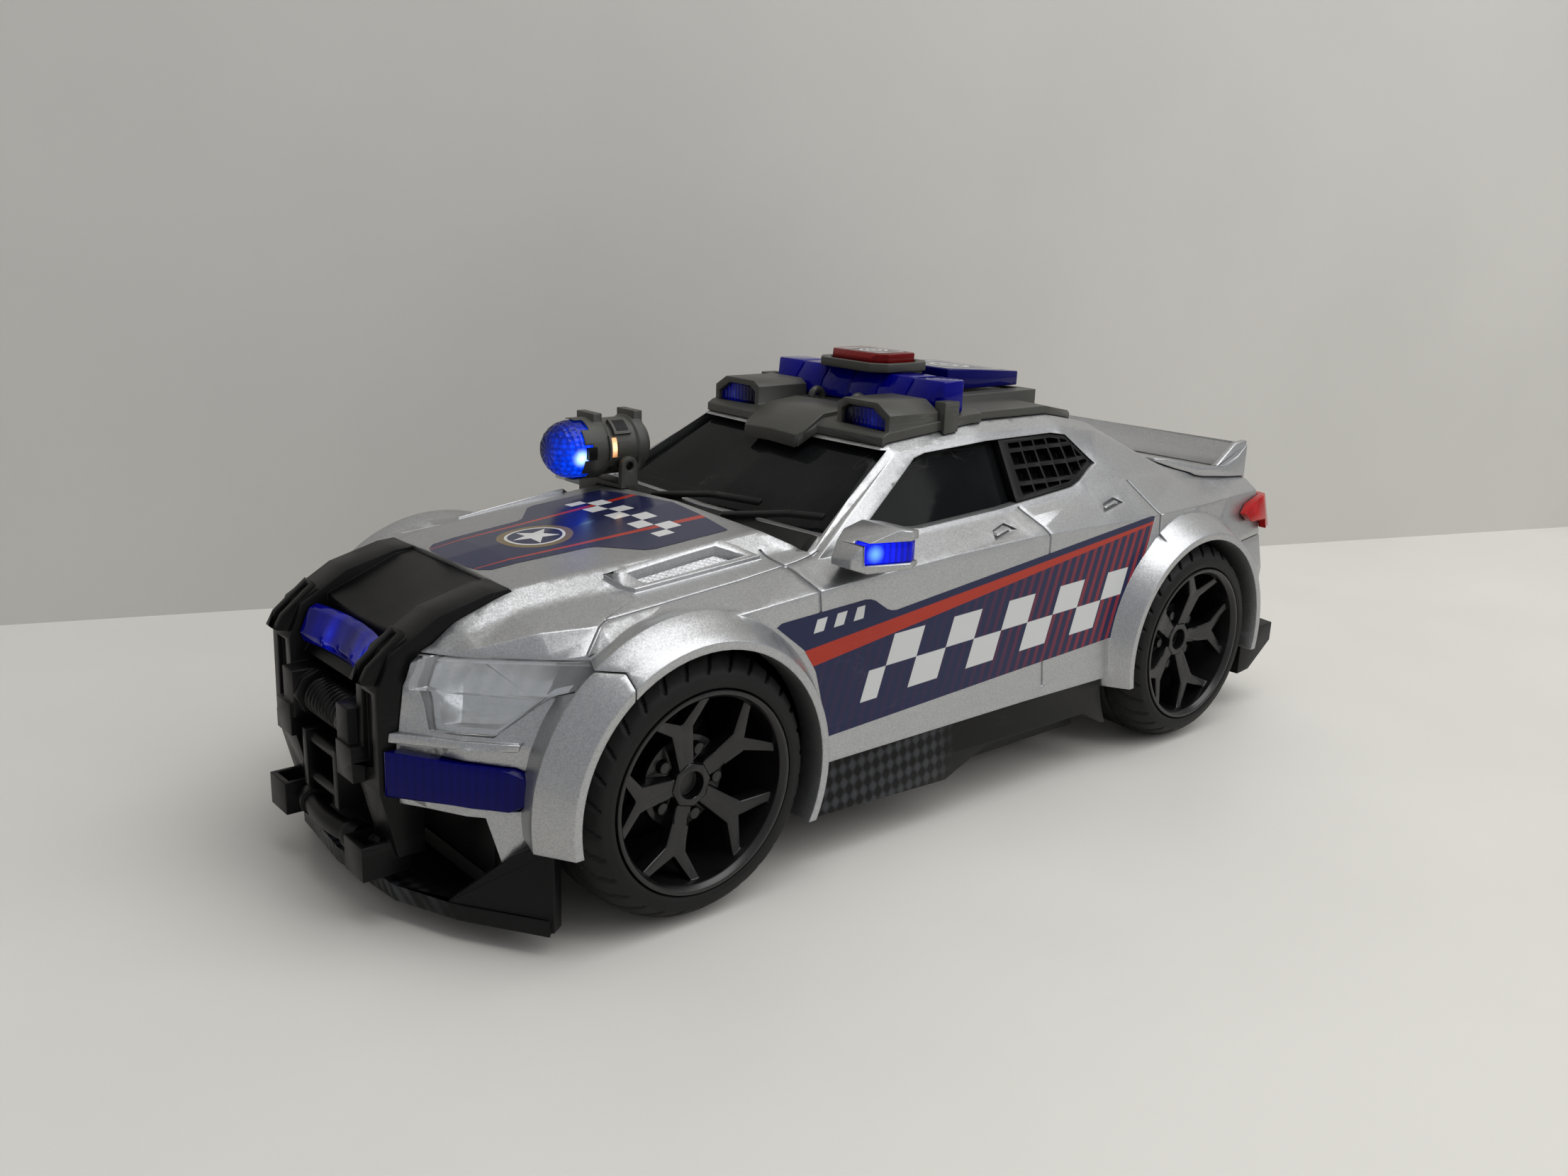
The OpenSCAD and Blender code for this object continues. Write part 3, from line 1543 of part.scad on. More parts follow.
module push_bar() {
  pocket_x = bar_x - upright_w / 2;
  color(black_plastic)
    difference() {
      union() {
        uprights();
        difference() {
          side_prism(-upright_in_x, upright_in_x) polygon(lift(panel_shares, half_l, roof_h));
          panel_valley();
        }
        side_prism(-upright_in_x, upright_in_x) polygon(lift(crossbar_shares, half_l, roof_h));
        both_sides() {
          block([drum_half, drum_y - winch_block_d / 2, drum_z - winch_block_h / 2],
             [upright_in_x, drum_y + winch_block_d, drum_z + winch_block_h / 2]);
          translate([drum_half - cheek_t, drum_y, drum_z])
            rotate([0, 90, 0]) cylinder(h = 2 * cheek_t, r = winch_block_h / 2, $fn = 8);
          block([fairlead_x - fairlead_t, fairlead_y, fairlead_z[0] - fairlead_t],
             [fairlead_x, fairlead_y_shares[1] * half_l, fairlead_z[1] + fairlead_t]);
          block(gear_place, gear_place + gear_box);
          difference() {
            side_prism(upright_in_x + clip_in, bar_x - clip_in)
              polygon(lift(clip_shares, half_l, roof_h));
            side_prism(upright_in_x + 2 * clip_in, bar_x - 2 * clip_in)
              translate([-overrun, overrun / 2]) polygon(lift(clip_shares, half_l, roof_h));
          }
        }
        for (z = fairlead_z)
          rod_x(-fairlead_x, fairlead_x, roller_d / 2, fairlead_y + fairlead_t, z);
        lower_tube();
        tube_collars();
        hook_boxes();
      }
      both_sides()
        block([pocket_x - pocket_w / 2, -reach, pocket_z_shares[0] * roof_h],
           [pocket_x + pocket_w / 2, upright_shares[5][0] * half_l + pocket_d,
           pocket_z_shares[1] * roof_h]);
    }
}

strip_cells = 4;

// Lit strip bowed inwards between the uprights, scored into cells
module push_bar_light() {
  front_y = strip_y_share * half_l;
  far_r = strip_r + strip_depth;
  angle = asin(strip_half / far_r);
  color(blue_clear, 0.8)
    translate([0, front_y - strip_r, 0])
      difference() {
        rotate([0, 0, 90 - angle])
          rotate_extrude(angle = 2 * angle)
            polygon([for (p = strip_shares) [strip_r + p[0] * strip_depth, p[1] * roof_h]]);
        for (k = [1:strip_cells - 1])
          rotate([0, 0, -angle + 2 * angle * k / strip_cells])
            block([-divider_w / 2, strip_r - overrun, 0], [divider_w / 2, strip_r + divider_d, reach]);
      }
}

module winch_drum() {
  color(black_plastic)
    rod_x(-drum_half + cheek_t + fit_gap, drum_half - cheek_t - fit_gap, drum_d / 2, drum_y, drum_z);
}

rope_steps = 24;

// One unbroken rope wound on the drum from cheek to cheek
module winch_rope() {
  span = 2 * (drum_half - cheek_t - fit_gap) - rope_d;
  pitch = span / rope_turns;
  echo(rope_gap = pitch - rope_d);
  color(black_plastic)
    translate([-span / 2, drum_y, drum_z])
      rotate([0, 90, 0])
        helix(drum_d / 2 + fit_gap / 2 + rope_d / 2, rope_d, rope_turns, span, rope_steps, wire_sides);
}

// Door mirrors with a lit side lens
mirror_plan_shares = [
  [0.86, -0.3], [0.93, -0.352], [1.03, -0.348], [1.11, -0.25], [1.085, -0.225], [0.9, -0.235]
];
mirror_side_shares = [
  [-0.36, 0.745], [-0.33, 0.79], [-0.27, 0.825], [-0.22, 0.815], [-0.22, 0.732], [-0.32, 0.724]
];
mirror_lens_z_shares = [0.745, 0.796];
mirror_lens_plan_shares = [[0.98, -0.325], [1.045, -0.328], [1.105, -0.246], [1.09, -0.232], [0.98, -0.236]];

module mirror_lens_prism(inset) {
  plan_prism(mirror_lens_z_shares[0] * roof_h + inset, mirror_lens_z_shares[1] * roof_h - inset)
    offset(delta = -inset) polygon(lift(mirror_lens_plan_shares, half_w, half_l));
}

module mirror_housing(side) {
  color(silver_paint)
    on_side(side)
      difference() {
        intersection() {
          plan_prism(0, reach) polygon(lift(mirror_plan_shares, half_w, half_l));
          side_prism(0, reach) polygon(lift(mirror_side_shares, half_l, roof_h));
        }
        body_form(fit_gap);
        for (out = [[0, 0, 0], [overrun, 0, 0], [overrun, 2 * overrun, 0]])
          translate(out) mirror_lens_prism(0);
      }
}

module mirror_lens(side) {
  color(blue_clear, 0.8)
    on_side(side) mirror_lens_prism(fit_gap);
}

// Search lamp on its hinge bracket at the right end of the cowl
spot_shares = [-0.54545, -0.35625];
foot_z_share = 0.776;
hinge_rise = 6.7;
axis_rise = 4.5;
spot_front = 13.5;
spot_x = spot_shares[0] * half_w;
hinge_y = spot_shares[1] * half_l;
foot_z = foot_z_share * roof_h;
hinge_z = foot_z + hinge_rise;
spot_axis_z = hinge_z + axis_rise;
spot_front_y = hinge_y - spot_front;
ear_t = 2;
ear_r = 2.8;
ear_gap = 0.4;
foot_t = 1.6;
foot_l = 6;
bezel_l = 5;
bezel_t = 1;
bezel_wall = 0.6;
dome_r = spot_d / 2 - bezel_wall;
spot_flat = 2.4;
notch_n = 6;
notch_l = 2.6;
notch_w = 4.6;
band_w = 3;
band_d = 0.7;
window_w = 4;
rail_h = 1.4;
rail_w = 9;
pin_short = 0.8;

module spot_ear_outline() {
  hull() {
    translate([hinge_y, hinge_z]) circle(r = ear_r, $fn = small_fn);
    translate([hinge_y - ear_r, foot_z]) square([2 * ear_r, foot_t]);
  }
}

module spot_bracket() {
  inner = spot_d / 2 + ear_gap;
  color(grey_plastic)
    difference() {
      union() {
        for (side = [-1, 1])
          translate([spot_x + side * (inner + ear_t / 2) - ear_t / 2, 0, 0])
            side_prism(0, ear_t) spot_ear_outline();
        translate([spot_x, hinge_y, 0])
          centre_block(2 * (inner + ear_t), -foot_l / 2, foot_l / 2, core_z, foot_z + foot_t);
      }
      body_form(fit_gap);
      rod_x(-reach, reach, spot_pin_d / 2 + axle_gap, hinge_y, hinge_z);
    }
}

module spot_pin() {
  half = spot_d / 2 + ear_gap + ear_t - pin_short;
  color(steel_bright)
    rod_x(spot_x - half, spot_x + half, spot_pin_d / 2, hinge_y, hinge_z);
}

module spot_housing() {
  color(grey_plastic)
    difference() {
      translate([spot_x, spot_front_y, spot_axis_z])
        rotate([-90, 0, 0])
          difference() {
            r = spot_d / 2;
            union() {
              rotate_extrude()
                polygon([
                  [0, bezel_l], [dome_r + fit_gap, bezel_l], [dome_r + fit_gap, 0], [r, 0],
                  [r, bezel_l + band_w], [r - band_d, bezel_l + band_w + band_d],
                  [r - band_d, spot_l - 2 * band_w], [r, spot_l - 2 * band_w + band_d],
                  [r, spot_l - spot_flat], [r - spot_flat, spot_l], [0, spot_l]
                ]);
              for (z = [bezel_l + band_d / 2, spot_l - 2 * band_w + 2 * band_d])
                centre_block(rail_w, -r - rail_h, 0, z, z + band_w);
            }
            for (k = [0:notch_n - 1])
              rotate(360 * (k + 0.5) / notch_n)
                centre_block(notch_w, 0, reach, -overrun, notch_l);
            for (turn = [90, 142])
              rotate(turn)
                centre_block(window_w, -reach, -r + 3 * band_d, bezel_l + band_w + 2 * band_d,
                       bezel_l + 2 * band_w + band_d);
          }
      rod_x(-reach, reach, spot_pin_d / 2 + axle_gap, hinge_y, hinge_z);
    }
}

module spot_lens() {
  color(blue_clear, 0.8)
    translate([spot_x, spot_front_y, spot_axis_z])
      rotate([-90, 0, 0])
        intersection() {
          union() {
            sphere(r = dome_r);
            cylinder(h = bezel_l - fit_gap, r = dome_r);
          }
          block([-reach, -reach, -dome_r + bezel_t], [reach, reach, bezel_l - fit_gap]);
        }
}

chassis_pan();
body_shell();
front_bumper(1);  // front_bumper_left
front_bumper(-1);  // front_bumper_right
rear_bumper();
glazing();
window_grille(1);  // window_grille_left
window_grille(-1);  // window_grille_right
cowl_panel();
roof_console();
lightbar_lens();
pod_lens(1);  // pod_lens_left
pod_lens(-1);  // pod_lens_right
red_button();
red_button_spring();
siren_button();
siren_button_spring();
spoiler();
tail_light(1);  // tail_light_left
tail_light(-1);  // tail_light_right
rear_diffuser();
front_splitter();
side_skirt(1);  // side_skirt_left
side_skirt(-1);  // side_skirt_right
push_bar();
push_bar_light();
winch_drum();
winch_rope();
headlamp_lens(1);  // headlamp_lens_left
headlamp_lens(-1);  // headlamp_lens_right
headlamp_base(1);  // headlamp_base_left
headlamp_base(-1);  // headlamp_base_right
bumper_light(1);  // bumper_light_left
bumper_light(-1);  // bumper_light_right
mirror_housing(1);  // mirror_left
mirror_housing(-1);  // mirror_right
mirror_lens(1);  // mirror_lens_left
mirror_lens(-1);  // mirror_lens_right
spot_bracket();
spot_pin();
spot_housing();
spot_lens();
axle(-1);  // front_axle
axle(1);  // rear_axle
at_wheel(1, -1) rim();  // rim_front_left
at_wheel(-1, -1) rim();  // rim_front_right
at_wheel(1, 1) rim();  // rim_rear_left
at_wheel(-1, 1) rim();  // rim_rear_right
at_wheel(1, -1) tyre();  // tyre_front_left
at_wheel(-1, -1) tyre();  // tyre_front_right
at_wheel(1, 1) tyre();  // tyre_rear_left
at_wheel(-1, 1) tyre();  // tyre_rear_right
battery_cover();
batteries();
battery_contacts();
speaker();
main_board();
roof_board();
switch_knob();
body_screws();
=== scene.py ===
"""Looks of a large toy police car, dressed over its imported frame.

Every length is in metres in the frame's own axes: +X to the car's left, +Y to its rear, +Z up,
with the ground at z = 0. Rigid pieces are softened copies of the frame's nodes, and films, tyres,
rope, springs, the search lamp's dome and small trim are surfaces worked out with numpy.
"""

from __future__ import annotations

import json
import logging
import math
from dataclasses import dataclass, field
from enum import Enum
from functools import reduce
from itertools import product
from typing import Any, Sequence

import bmesh
import bpy
import numpy as np
from mathutils import Matrix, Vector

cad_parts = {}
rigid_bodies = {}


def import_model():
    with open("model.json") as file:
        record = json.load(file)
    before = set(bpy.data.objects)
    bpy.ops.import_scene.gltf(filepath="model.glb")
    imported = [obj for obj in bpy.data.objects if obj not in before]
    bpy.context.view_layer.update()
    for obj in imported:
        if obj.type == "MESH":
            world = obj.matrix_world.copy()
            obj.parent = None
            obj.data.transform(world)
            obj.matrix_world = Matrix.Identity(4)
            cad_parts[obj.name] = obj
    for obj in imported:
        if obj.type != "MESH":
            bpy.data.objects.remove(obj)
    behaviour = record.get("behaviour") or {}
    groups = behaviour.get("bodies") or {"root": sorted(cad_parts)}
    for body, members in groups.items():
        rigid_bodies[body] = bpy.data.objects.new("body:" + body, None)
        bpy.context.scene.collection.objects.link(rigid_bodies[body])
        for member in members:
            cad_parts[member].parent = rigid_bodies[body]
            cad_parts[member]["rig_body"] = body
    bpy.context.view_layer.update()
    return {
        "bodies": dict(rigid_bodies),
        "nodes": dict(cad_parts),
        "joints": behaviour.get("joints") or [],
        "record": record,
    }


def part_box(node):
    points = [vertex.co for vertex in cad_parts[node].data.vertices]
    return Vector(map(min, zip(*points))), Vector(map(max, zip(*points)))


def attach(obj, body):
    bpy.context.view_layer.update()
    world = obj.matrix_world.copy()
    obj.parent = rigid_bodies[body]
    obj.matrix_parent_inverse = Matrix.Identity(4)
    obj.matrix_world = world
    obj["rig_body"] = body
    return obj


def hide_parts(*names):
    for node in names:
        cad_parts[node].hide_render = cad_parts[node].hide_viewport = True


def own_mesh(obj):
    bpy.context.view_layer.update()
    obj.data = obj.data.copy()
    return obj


LOG = logging.getLogger("toy_police_car")
MM = 0.001
FULL_TURN = 2 * math.pi
TINY = 1e-12
MERGE = 0.002 * MM
FLAT_ANGLE = math.radians(0.4)
SMOOTH_ANGLE = math.radians(38)
Colour = tuple[float, float, float]
Point = tuple[float, float, float]
Edge = tuple[Point, Point]
Line = tuple[tuple[float, float], tuple[float, float]]
Outline = tuple[tuple[float, float], ...]
Socket = bpy.types.NodeSocket
UP: Point = (0.0, 0.0, 1.0)


class Place(Enum):
    """Base of the places on the car."""

    @property
    def label(self) -> str:
        """Name as the nodes spell it."""
        return self.name.lower()


class Side(Place):
    """Side of the car, as the sign of its X."""

    LEFT = 1
    RIGHT = -1


class End(Place):
    """End of the car, as the sign of its Y."""

    FRONT = -1
    REAR = 1


# Body form


def unit(vectors: np.ndarray) -> np.ndarray:
    """Vectors brought to length one."""
    return vectors / np.maximum(np.linalg.norm(vectors, axis=-1, keepdims=True), TINY)


@dataclass(frozen=True)
class BodyForm:
    """Lofted form that the shell, glazing and lamps are cut from.

    Each station is a half section: sill, side, crease, belt, edge, ridge and top, as shares of the half
    width and roof height.
    """

    half_length: float = 0.160
    half_width: float = 0.066
    roof_height: float = 0.108
    crease_cos: float = math.cos(math.radians(3.5))
    flow_cos: float = math.cos(math.radians(24))
    places: tuple[float, ...] = (
        -0.99, -0.925, -0.888, -0.813, -0.738, -0.625, -0.494, -0.363, -0.33, -0.1, 0.113, 0.344, 0.475,
        0.663, 0.813, 0.981, 1.0,
    )
    widths: tuple[tuple[float, ...], ...] = (
        (0.43, 0.44, 0.41, 0.38, 0.35, 0.27), (0.68, 0.667, 0.583, 0.545, 0.5, 0.41),
        (0.78, 0.758, 0.65, 0.606, 0.53, 0.44), (0.9, 0.91, 0.78, 0.712, 0.545, 0.447),
        (0.955, 0.985, 0.9, 0.795, 0.57, 0.475), (1, 0.985, 0.962, 0.78, 0.61, 0.51),
        (1, 0.985, 0.97, 0.788, 0.64, 0.54), (1, 0.985, 0.97, 0.803, 0.66, 0.56),
        (1, 0.985, 0.97, 0.81, 0.765, 0.697), (1, 0.985, 0.97, 0.826, 0.636, 0.576),
        (1, 0.985, 0.97, 0.826, 0.636, 0.576), (1, 0.985, 0.97, 0.818, 0.629, 0.568),
        (1, 0.985, 0.97, 0.803, 0.606, 0.545), (0.995, 0.985, 0.929, 0.765, 0.712, 0.65),
        (0.94, 0.955, 0.871, 0.735, 0.697, 0.636), (0.865, 0.88, 0.795, 0.727, 0.68, 0.62),
        (0.84, 0.855, 0.765, 0.697, 0.65, 0.59),
    )
    heights: tuple[tuple[float, ...], ...] = (
        (0.15, 0.426, 0.537, 0.583, 0.602, 0.606, 0.611), (0.16, 0.435, 0.574, 0.606, 0.62, 0.634, 0.639),
        (0.17, 0.444, 0.593, 0.63, 0.646, 0.671, 0.68), (0.194, 0.454, 0.611, 0.66, 0.676, 0.709, 0.719),
        (0.26, 0.463, 0.63, 0.669, 0.692, 0.724, 0.735), (0.269, 0.38, 0.662, 0.685, 0.705, 0.738, 0.75),
        (0.269, 0.36, 0.677, 0.702, 0.72, 0.756, 0.768), (0.269, 0.36, 0.691, 0.724, 0.736, 0.773, 0.786),
        (0.269, 0.36, 0.694, 0.732, 0.737, 0.743, 0.759), (0.269, 0.36, 0.711, 0.755, 0.935, 0.959, 0.969),
        (0.269, 0.36, 0.72, 0.769, 0.963, 0.987, 1.0), (0.265, 0.37, 0.716, 0.796, 0.963, 0.985, 0.996),
        (0.26, 0.385, 0.712, 0.808, 0.929, 0.95, 0.958), (0.26, 0.42, 0.708, 0.782, 0.806, 0.815, 0.82),
        (0.265, 0.46, 0.704, 0.745, 0.755, 0.759, 0.764), (0.272, 0.45, 0.696, 0.726, 0.73, 0.732, 0.733),
        (0.278, 0.44, 0.65, 0.671, 0.676, 0.679, 0.681),
    )

    def stations(self) -> np.ndarray:
        """Y place of each station."""
        return np.array(self.places) * self.half_length

    def sections(self) -> np.ndarray:
        """Left half sections from bottom centre to top centre.

        Returns:
            Array (stations, 8, 2) of x and z.
        """
        wide = np.array(self.widths) * self.half_width
        high = np.array(self.heights) * self.roof_height
        x = np.concatenate([np.zeros((len(wide), 1)), wide, np.zeros((len(wide), 1))], axis=1)
        z = np.concatenate([high[:, :1], high], axis=1)
        return np.stack([x, z], axis=2)

    def corner_normals(self) -> np.ndarray:
        """Smooth normals at the four corners of each panel.

        A corner takes the mean of the panels around it whose normals lie close to its own, with a wider angle
        along the car than round it, so long creases stay sharp and the rest flows.

        Returns:
            Array (2, 2, panels along, panels round, 3).
        """
        ring = self.sections()
        y = np.repeat(self.stations()[:, None], ring.shape[1], axis=1)
        grid = np.stack([ring[..., 0], y, ring[..., 1]], axis=2)
        flat = unit(np.cross(grid[:-1, 1:] - grid[1:, :-1], grid[1:, 1:] - grid[:-1, :-1]))
        flip = np.array([-1.0, 1.0, 1.0])
        wide = np.concatenate([flat[:, :1] * flip, flat, flat[:, -1:] * flip], axis=1)
        wide = np.concatenate([wide[:1], wide, wide[-1:]], axis=0)
        rows, cols = flat.shape[:2]
        out = np.zeros((2, 2, rows, cols, 3))
        for di, dj, a, b in product((0, 1), repeat=4):
            near = wide[di + a:di + a + rows, dj + b:dj + b + cols]
            limit = self.flow_cos if dj + b == 1 else self.crease_cos
            out[di, dj] += near * ((near * flat).sum(axis=2, keepdims=True) > limit)
        return unit(out)

    def nearest(self, points: np.ndarray) -> tuple[np.ndarray, np.ndarray]:
        """Distance to the form's skin and the skin's smooth normal, for points near it.

        The section at a point's own y is blended from its two stations, and the point is dropped on
        the nearest edge of it.

        Args:
            points: Array (n, 3).

        Returns:
            Distances (n,) and normals (n, 3).
        """
        places, ring, corners = self.stations(), self.sections(), self.corner_normals()
        i = np.clip(np.searchsorted(places, points[:, 1]) - 1, 0, len(places) - 2)
        t = np.clip((points[:, 1] - places[i]) / (places[i + 1] - places[i]), 0, 1)[:, None, None]
        cut = ring[i] * (1 - t) + ring[i + 1] * t
        start, run = cut[:, :-1], cut[:, 1:] - cut[:, :-1]
        here = np.stack([np.abs(points[:, 0]), points[:, 2]], axis=1)[:, None]
        s = np.clip(((here - start) * run).sum(2) / np.maximum((run ** 2).sum(2), TINY * MM), 0, 1)
        gaps = np.linalg.norm(here - start - run * s[..., None], axis=2)
        j = gaps.argmin(axis=1)
        rows = np.arange(len(points))
        s, t = s[rows, j][:, None], t[:, :, 0]
        normal = (
            corners[0, 0, i, j] * (1 - t) * (1 - s) + corners[1, 0, i, j] * t * (1 - s)
            + corners[0, 1, i, j] * (1 - t) * s + corners[1, 1, i, j] * t * s
        )
        normal[:, 0] *= np.where(points[:, 0] < 0, -1, 1)
        return gaps[rows, j], unit(normal)

    def side_x(self, y: np.ndarray, z: np.ndarray) -> np.ndarray:
        """X of the left side at places (y, z) between the sill and the crease."""
        ring, places = self.sections()[:, 1:4], self.stations()
        x = np.stack([np.interp(y, places, ring[:, k, 0]) for k in range(3)])
        h = np.stack([np.interp(y, places, ring[:, k, 1]) for k in range(3)])
        low = np.clip((z - h[0]) / (h[1] - h[0]), 0, 1)
        top = np.clip((z - h[1]) / (h[2] - h[1]), 0, 1.2)
        return np.where(z < h[1], x[0] + (x[1] - x[0]) * low, x[1] + (x[2] - x[1]) * top)

    def top_z(self, x: np.ndarray, y: np.ndarray) -> np.ndarray:
        """Z of the top at places (x, y) inside the belt.

        From the top centre outwards, the height falls along the straight runs to the ridge, the edge and the
        belt of the section blended at y.
        """
        ring, places = self.sections()[:, 4:8], self.stations()
        wide, high = (np.stack([np.interp(y, places, ring[:, k, axis]) for k in range(4)]) for axis in (0, 1))
        z = high[3]
        for k in (2, 1, 0):
            share = (np.abs(x) - wide[k + 1]) / (wide[k] - wide[k + 1])
            z = z + (high[k] - high[k + 1]) * np.clip(share, 0, 1)
        return z


# Meshes


def full_circle(count: int) -> np.ndarray:
    """Angles spread evenly round a circle."""
    return np.linspace(0, FULL_TURN, count, endpoint=False)


def unit_grid(cols: int, rows: int) -> tuple[np.ndarray, np.ndarray]:
    """Shares from 0 to 1 across and along a grid, as two arrays (rows, cols)."""
    across, along = np.meshgrid(np.linspace(0, 1, cols), np.linspace(0, 1, rows))
    return across, along


def between(corners: Sequence[np.ndarray] | np.ndarray, u: np.ndarray, v: np.ndarray) -> np.ndarray:
    """Places blended from four corners, in order round them, by shares across and along."""
    a, b, c, d = corners
    u, v = u[..., None], v[..., None]
    return (a * (1 - u) + b * u) * (1 - v) + (d * (1 - u) + c * u) * v


def column(items: Any, key: str, width: int, kind: type = np.float32) -> np.ndarray:
    """One property of every vertex, corner or face of a mesh as an array (n, width)."""
    out = np.empty((len(items), width), kind)
    items.foreach_get(key, out.ravel())
    return out


def turned(place: Point, x: np.ndarray, y: np.ndarray, z: np.ndarray) -> Matrix:
    """Matrix of an object at a place with the given axes."""
    return Matrix.Translation(place) @ Matrix(np.stack([x, y, z], axis=1).tolist()).to_4x4()


def add_object(name: str, data: bpy.types.ID, matrix: Matrix | None = None) -> bpy.types.Object:
    """New object in the scene, at the origin unless a matrix is given."""
    made = bpy.data.objects.new(name, data)
    if matrix is not None:
        made.matrix_world = matrix
    bpy.context.scene.collection.objects.link(made)
    return made


def turn_towards(piece: bpy.types.Object, way: Sequence[float]) -> None:
    """Turns an open sheet's faces towards a direction."""
    if (column(piece.data.polygons, "normal", 3) @ np.array(way)).sum() < 0:
        piece.data.flip_normals()


def grid_faces(rows: int, cols: int, wrap_rows: bool = False, wrap_cols: bool = False) -> np.ndarray:
    """Quads of a grid of points laid out row by row.

    Args:
        rows: Points along the first parameter.
        cols: Points along the second parameter.
        wrap_rows: Joins the last row to the first.
        wrap_cols: Joins the last column to the first.

    Returns:
        Array (faces, 4) of point numbers.
    """
    i = np.arange(rows if wrap_rows else rows - 1)[:, None]
    j = np.arange(cols if wrap_cols else cols - 1)[None, :]
    a, b = i * cols + j, i * cols + (j + 1) % cols
    c, d = (i + 1) % rows * cols + (j + 1) % cols, (i + 1) % rows * cols + j
    return np.stack([a, b, c, d], axis=2).reshape(-1, 4)


def new_piece(name: str, points: np.ndarray, faces: Sequence[Sequence[int]] | np.ndarray) -> bpy.types.Object:
    """Mesh object from whole arrays of points and faces, with its faces turned outwards and shaded smooth."""
    mesh = bpy.data.meshes.new(name)
    listed = faces.tolist() if isinstance(faces, np.ndarray) else [list(f) for f in faces]
    mesh.from_pydata(np.asarray(points).reshape(-1, 3).tolist(), [], listed)
    work = bmesh.new()
    work.from_mesh(mesh)
    bmesh.ops.recalc_face_normals(work, faces=work.faces)
    work.to_mesh(mesh)
    work.free()
    mesh.shade_smooth()
    mesh.set_sharp_from_angle(angle=SMOOTH_ANGLE)
    return add_object(name, mesh)


def capped_faces(rings: int, sides: int) -> list[list[int]]:
    """Faces of a tube of rings, with both ends closed."""
    points = np.arange(rings * sides).reshape(rings, sides)
    return [*grid_faces(rings, sides, wrap_cols=True).tolist(), points[0, ::-1].tolist(), points[-1].tolist()]


def swept_tube(
    path: np.ndarray, radius: np.ndarray, spin: np.ndarray | float = 0.0
) -> tuple[np.ndarray, list[list[int]]]:
    """Closed tube: a ring of points carried along a path.

    A point of the ring is the path's point plus the radius times the cosine and sine of its angle along
    the path's two cross directions, and the angle turns by the spin along the path.

    Args:
        path: Array (n, 3) of the centreline.
        radius: Array (n, sides) of ring radii.
        spin: Array (n,) of angles that the ring turns by, or one angle.

    Returns:
        Points (n, sides, 3) and the faces with both ends closed.
    """
    along = unit(np.gradient(path, axis=0))
    guide = np.array([1.0, 0.013, 0.017]) if abs(along[0, 0]) < 0.9 else np.array([0.013, 0.017, 1.0])
    across = unit(np.cross(along, guide))
    up = np.cross(across, along)
    angle = (full_circle(radius.shape[1]) + np.reshape(spin, (-1, 1)))[..., None]
    ring = np.cos(angle) * across[:, None] + np.sin(angle) * up[:, None]
    return path[:, None] + ring * radius[..., None], capped_faces(*radius.shape)


def rounded(outline: np.ndarray, rounds: int = 2, keep: float = 0.22) -> np.ndarray:
    """Closed outline with its corners cut back again and again, each edge keeping its middle part.

    Args:
        outline: Array (n, 2).
        rounds: How often corners are cut.
        keep: Share of an edge that is cut off at each of its ends.

    Returns:
        Array (n times 2 to the rounds, 2).
    """
    for _ in range(rounds):
        after = np.roll(outline, -1, axis=0)
        outline = np.stack([outline * (1 - keep) + after * keep, outline * keep + after * (1 - keep)], axis=1)
        outline = outline.reshape(-1, 2)
    return outline


def eased_line(points: Outline | np.ndarray, count: int) -> np.ndarray:
    """Open line of straight runs, sampled evenly by its length as an array (count, 2)."""
    line = np.array(points, float)
    reach = np.concatenate([[0], np.cumsum(np.linalg.norm(np.diff(line, axis=0), axis=1))])
    at = np.linspace(0, reach[-1], count)
    return np.stack([np.interp(at, reach, line[:, k]) for k in (0, 1)], axis=1)


def patch(bottom: np.ndarray, top: np.ndarray, left: np.ndarray, right: np.ndarray) -> np.ndarray:
    """Surface grid filled in between four edge lines.

    Each place is the blend between bottom and top, plus the blend between left and right, less the
    blend of the four corners.

    Args:
        bottom: Array (n, 2), left to right.
        top: Array (n, 2), left to right.
        left: Array (m, 2), bottom to top.
        right: Array (m, 2), bottom to top.

    Returns:
        Array (m, n, 2).
    """
    u = np.linspace(0, 1, len(bottom))[None, :, None]
    v = np.linspace(0, 1, len(left))[:, None, None]
    corners = (1 - u) * (1 - v) * bottom[0] + u * (1 - v) * bottom[-1] + (1 - u) * v * top[0] + u * v * top[-1]
    return (1 - v) * bottom[None] + v * top[None] + (1 - u) * left[:, None] + u * right[:, None] - corners


@dataclass(frozen=True)
class Softening:
    """How a copy of a node is softened.

    Attributes:
        edge: Width of the rounded edges.
        steps: Faces across a rounded edge.
        sharp: Angle in degrees from which an edge is rounded.
        follows: Whether smooth normals come from the body form.
        reach: How far from the form a face may lie and still follow it.
        pitch: Longest edge of a face on the form's skin.
        rounds: How often longer edges are split.
        nudge: Share of the way to a face's middle where its corners are looked up on the form.
        lean: Most degrees between a face and the form that it follows.
        shortest: Share of the rounded width below which an edge is left sharp.
    """

    edge: float = 0.25 * MM
    steps: int = 2
    sharp: float = 32.0
    follows: bool = False
    reach: float = 0.5 * MM
    pitch: float = 3.0 * MM
    rounds: int = 5
    nudge: float = 0.03
    lean: float = 20.0
    shortest: float = 0.4


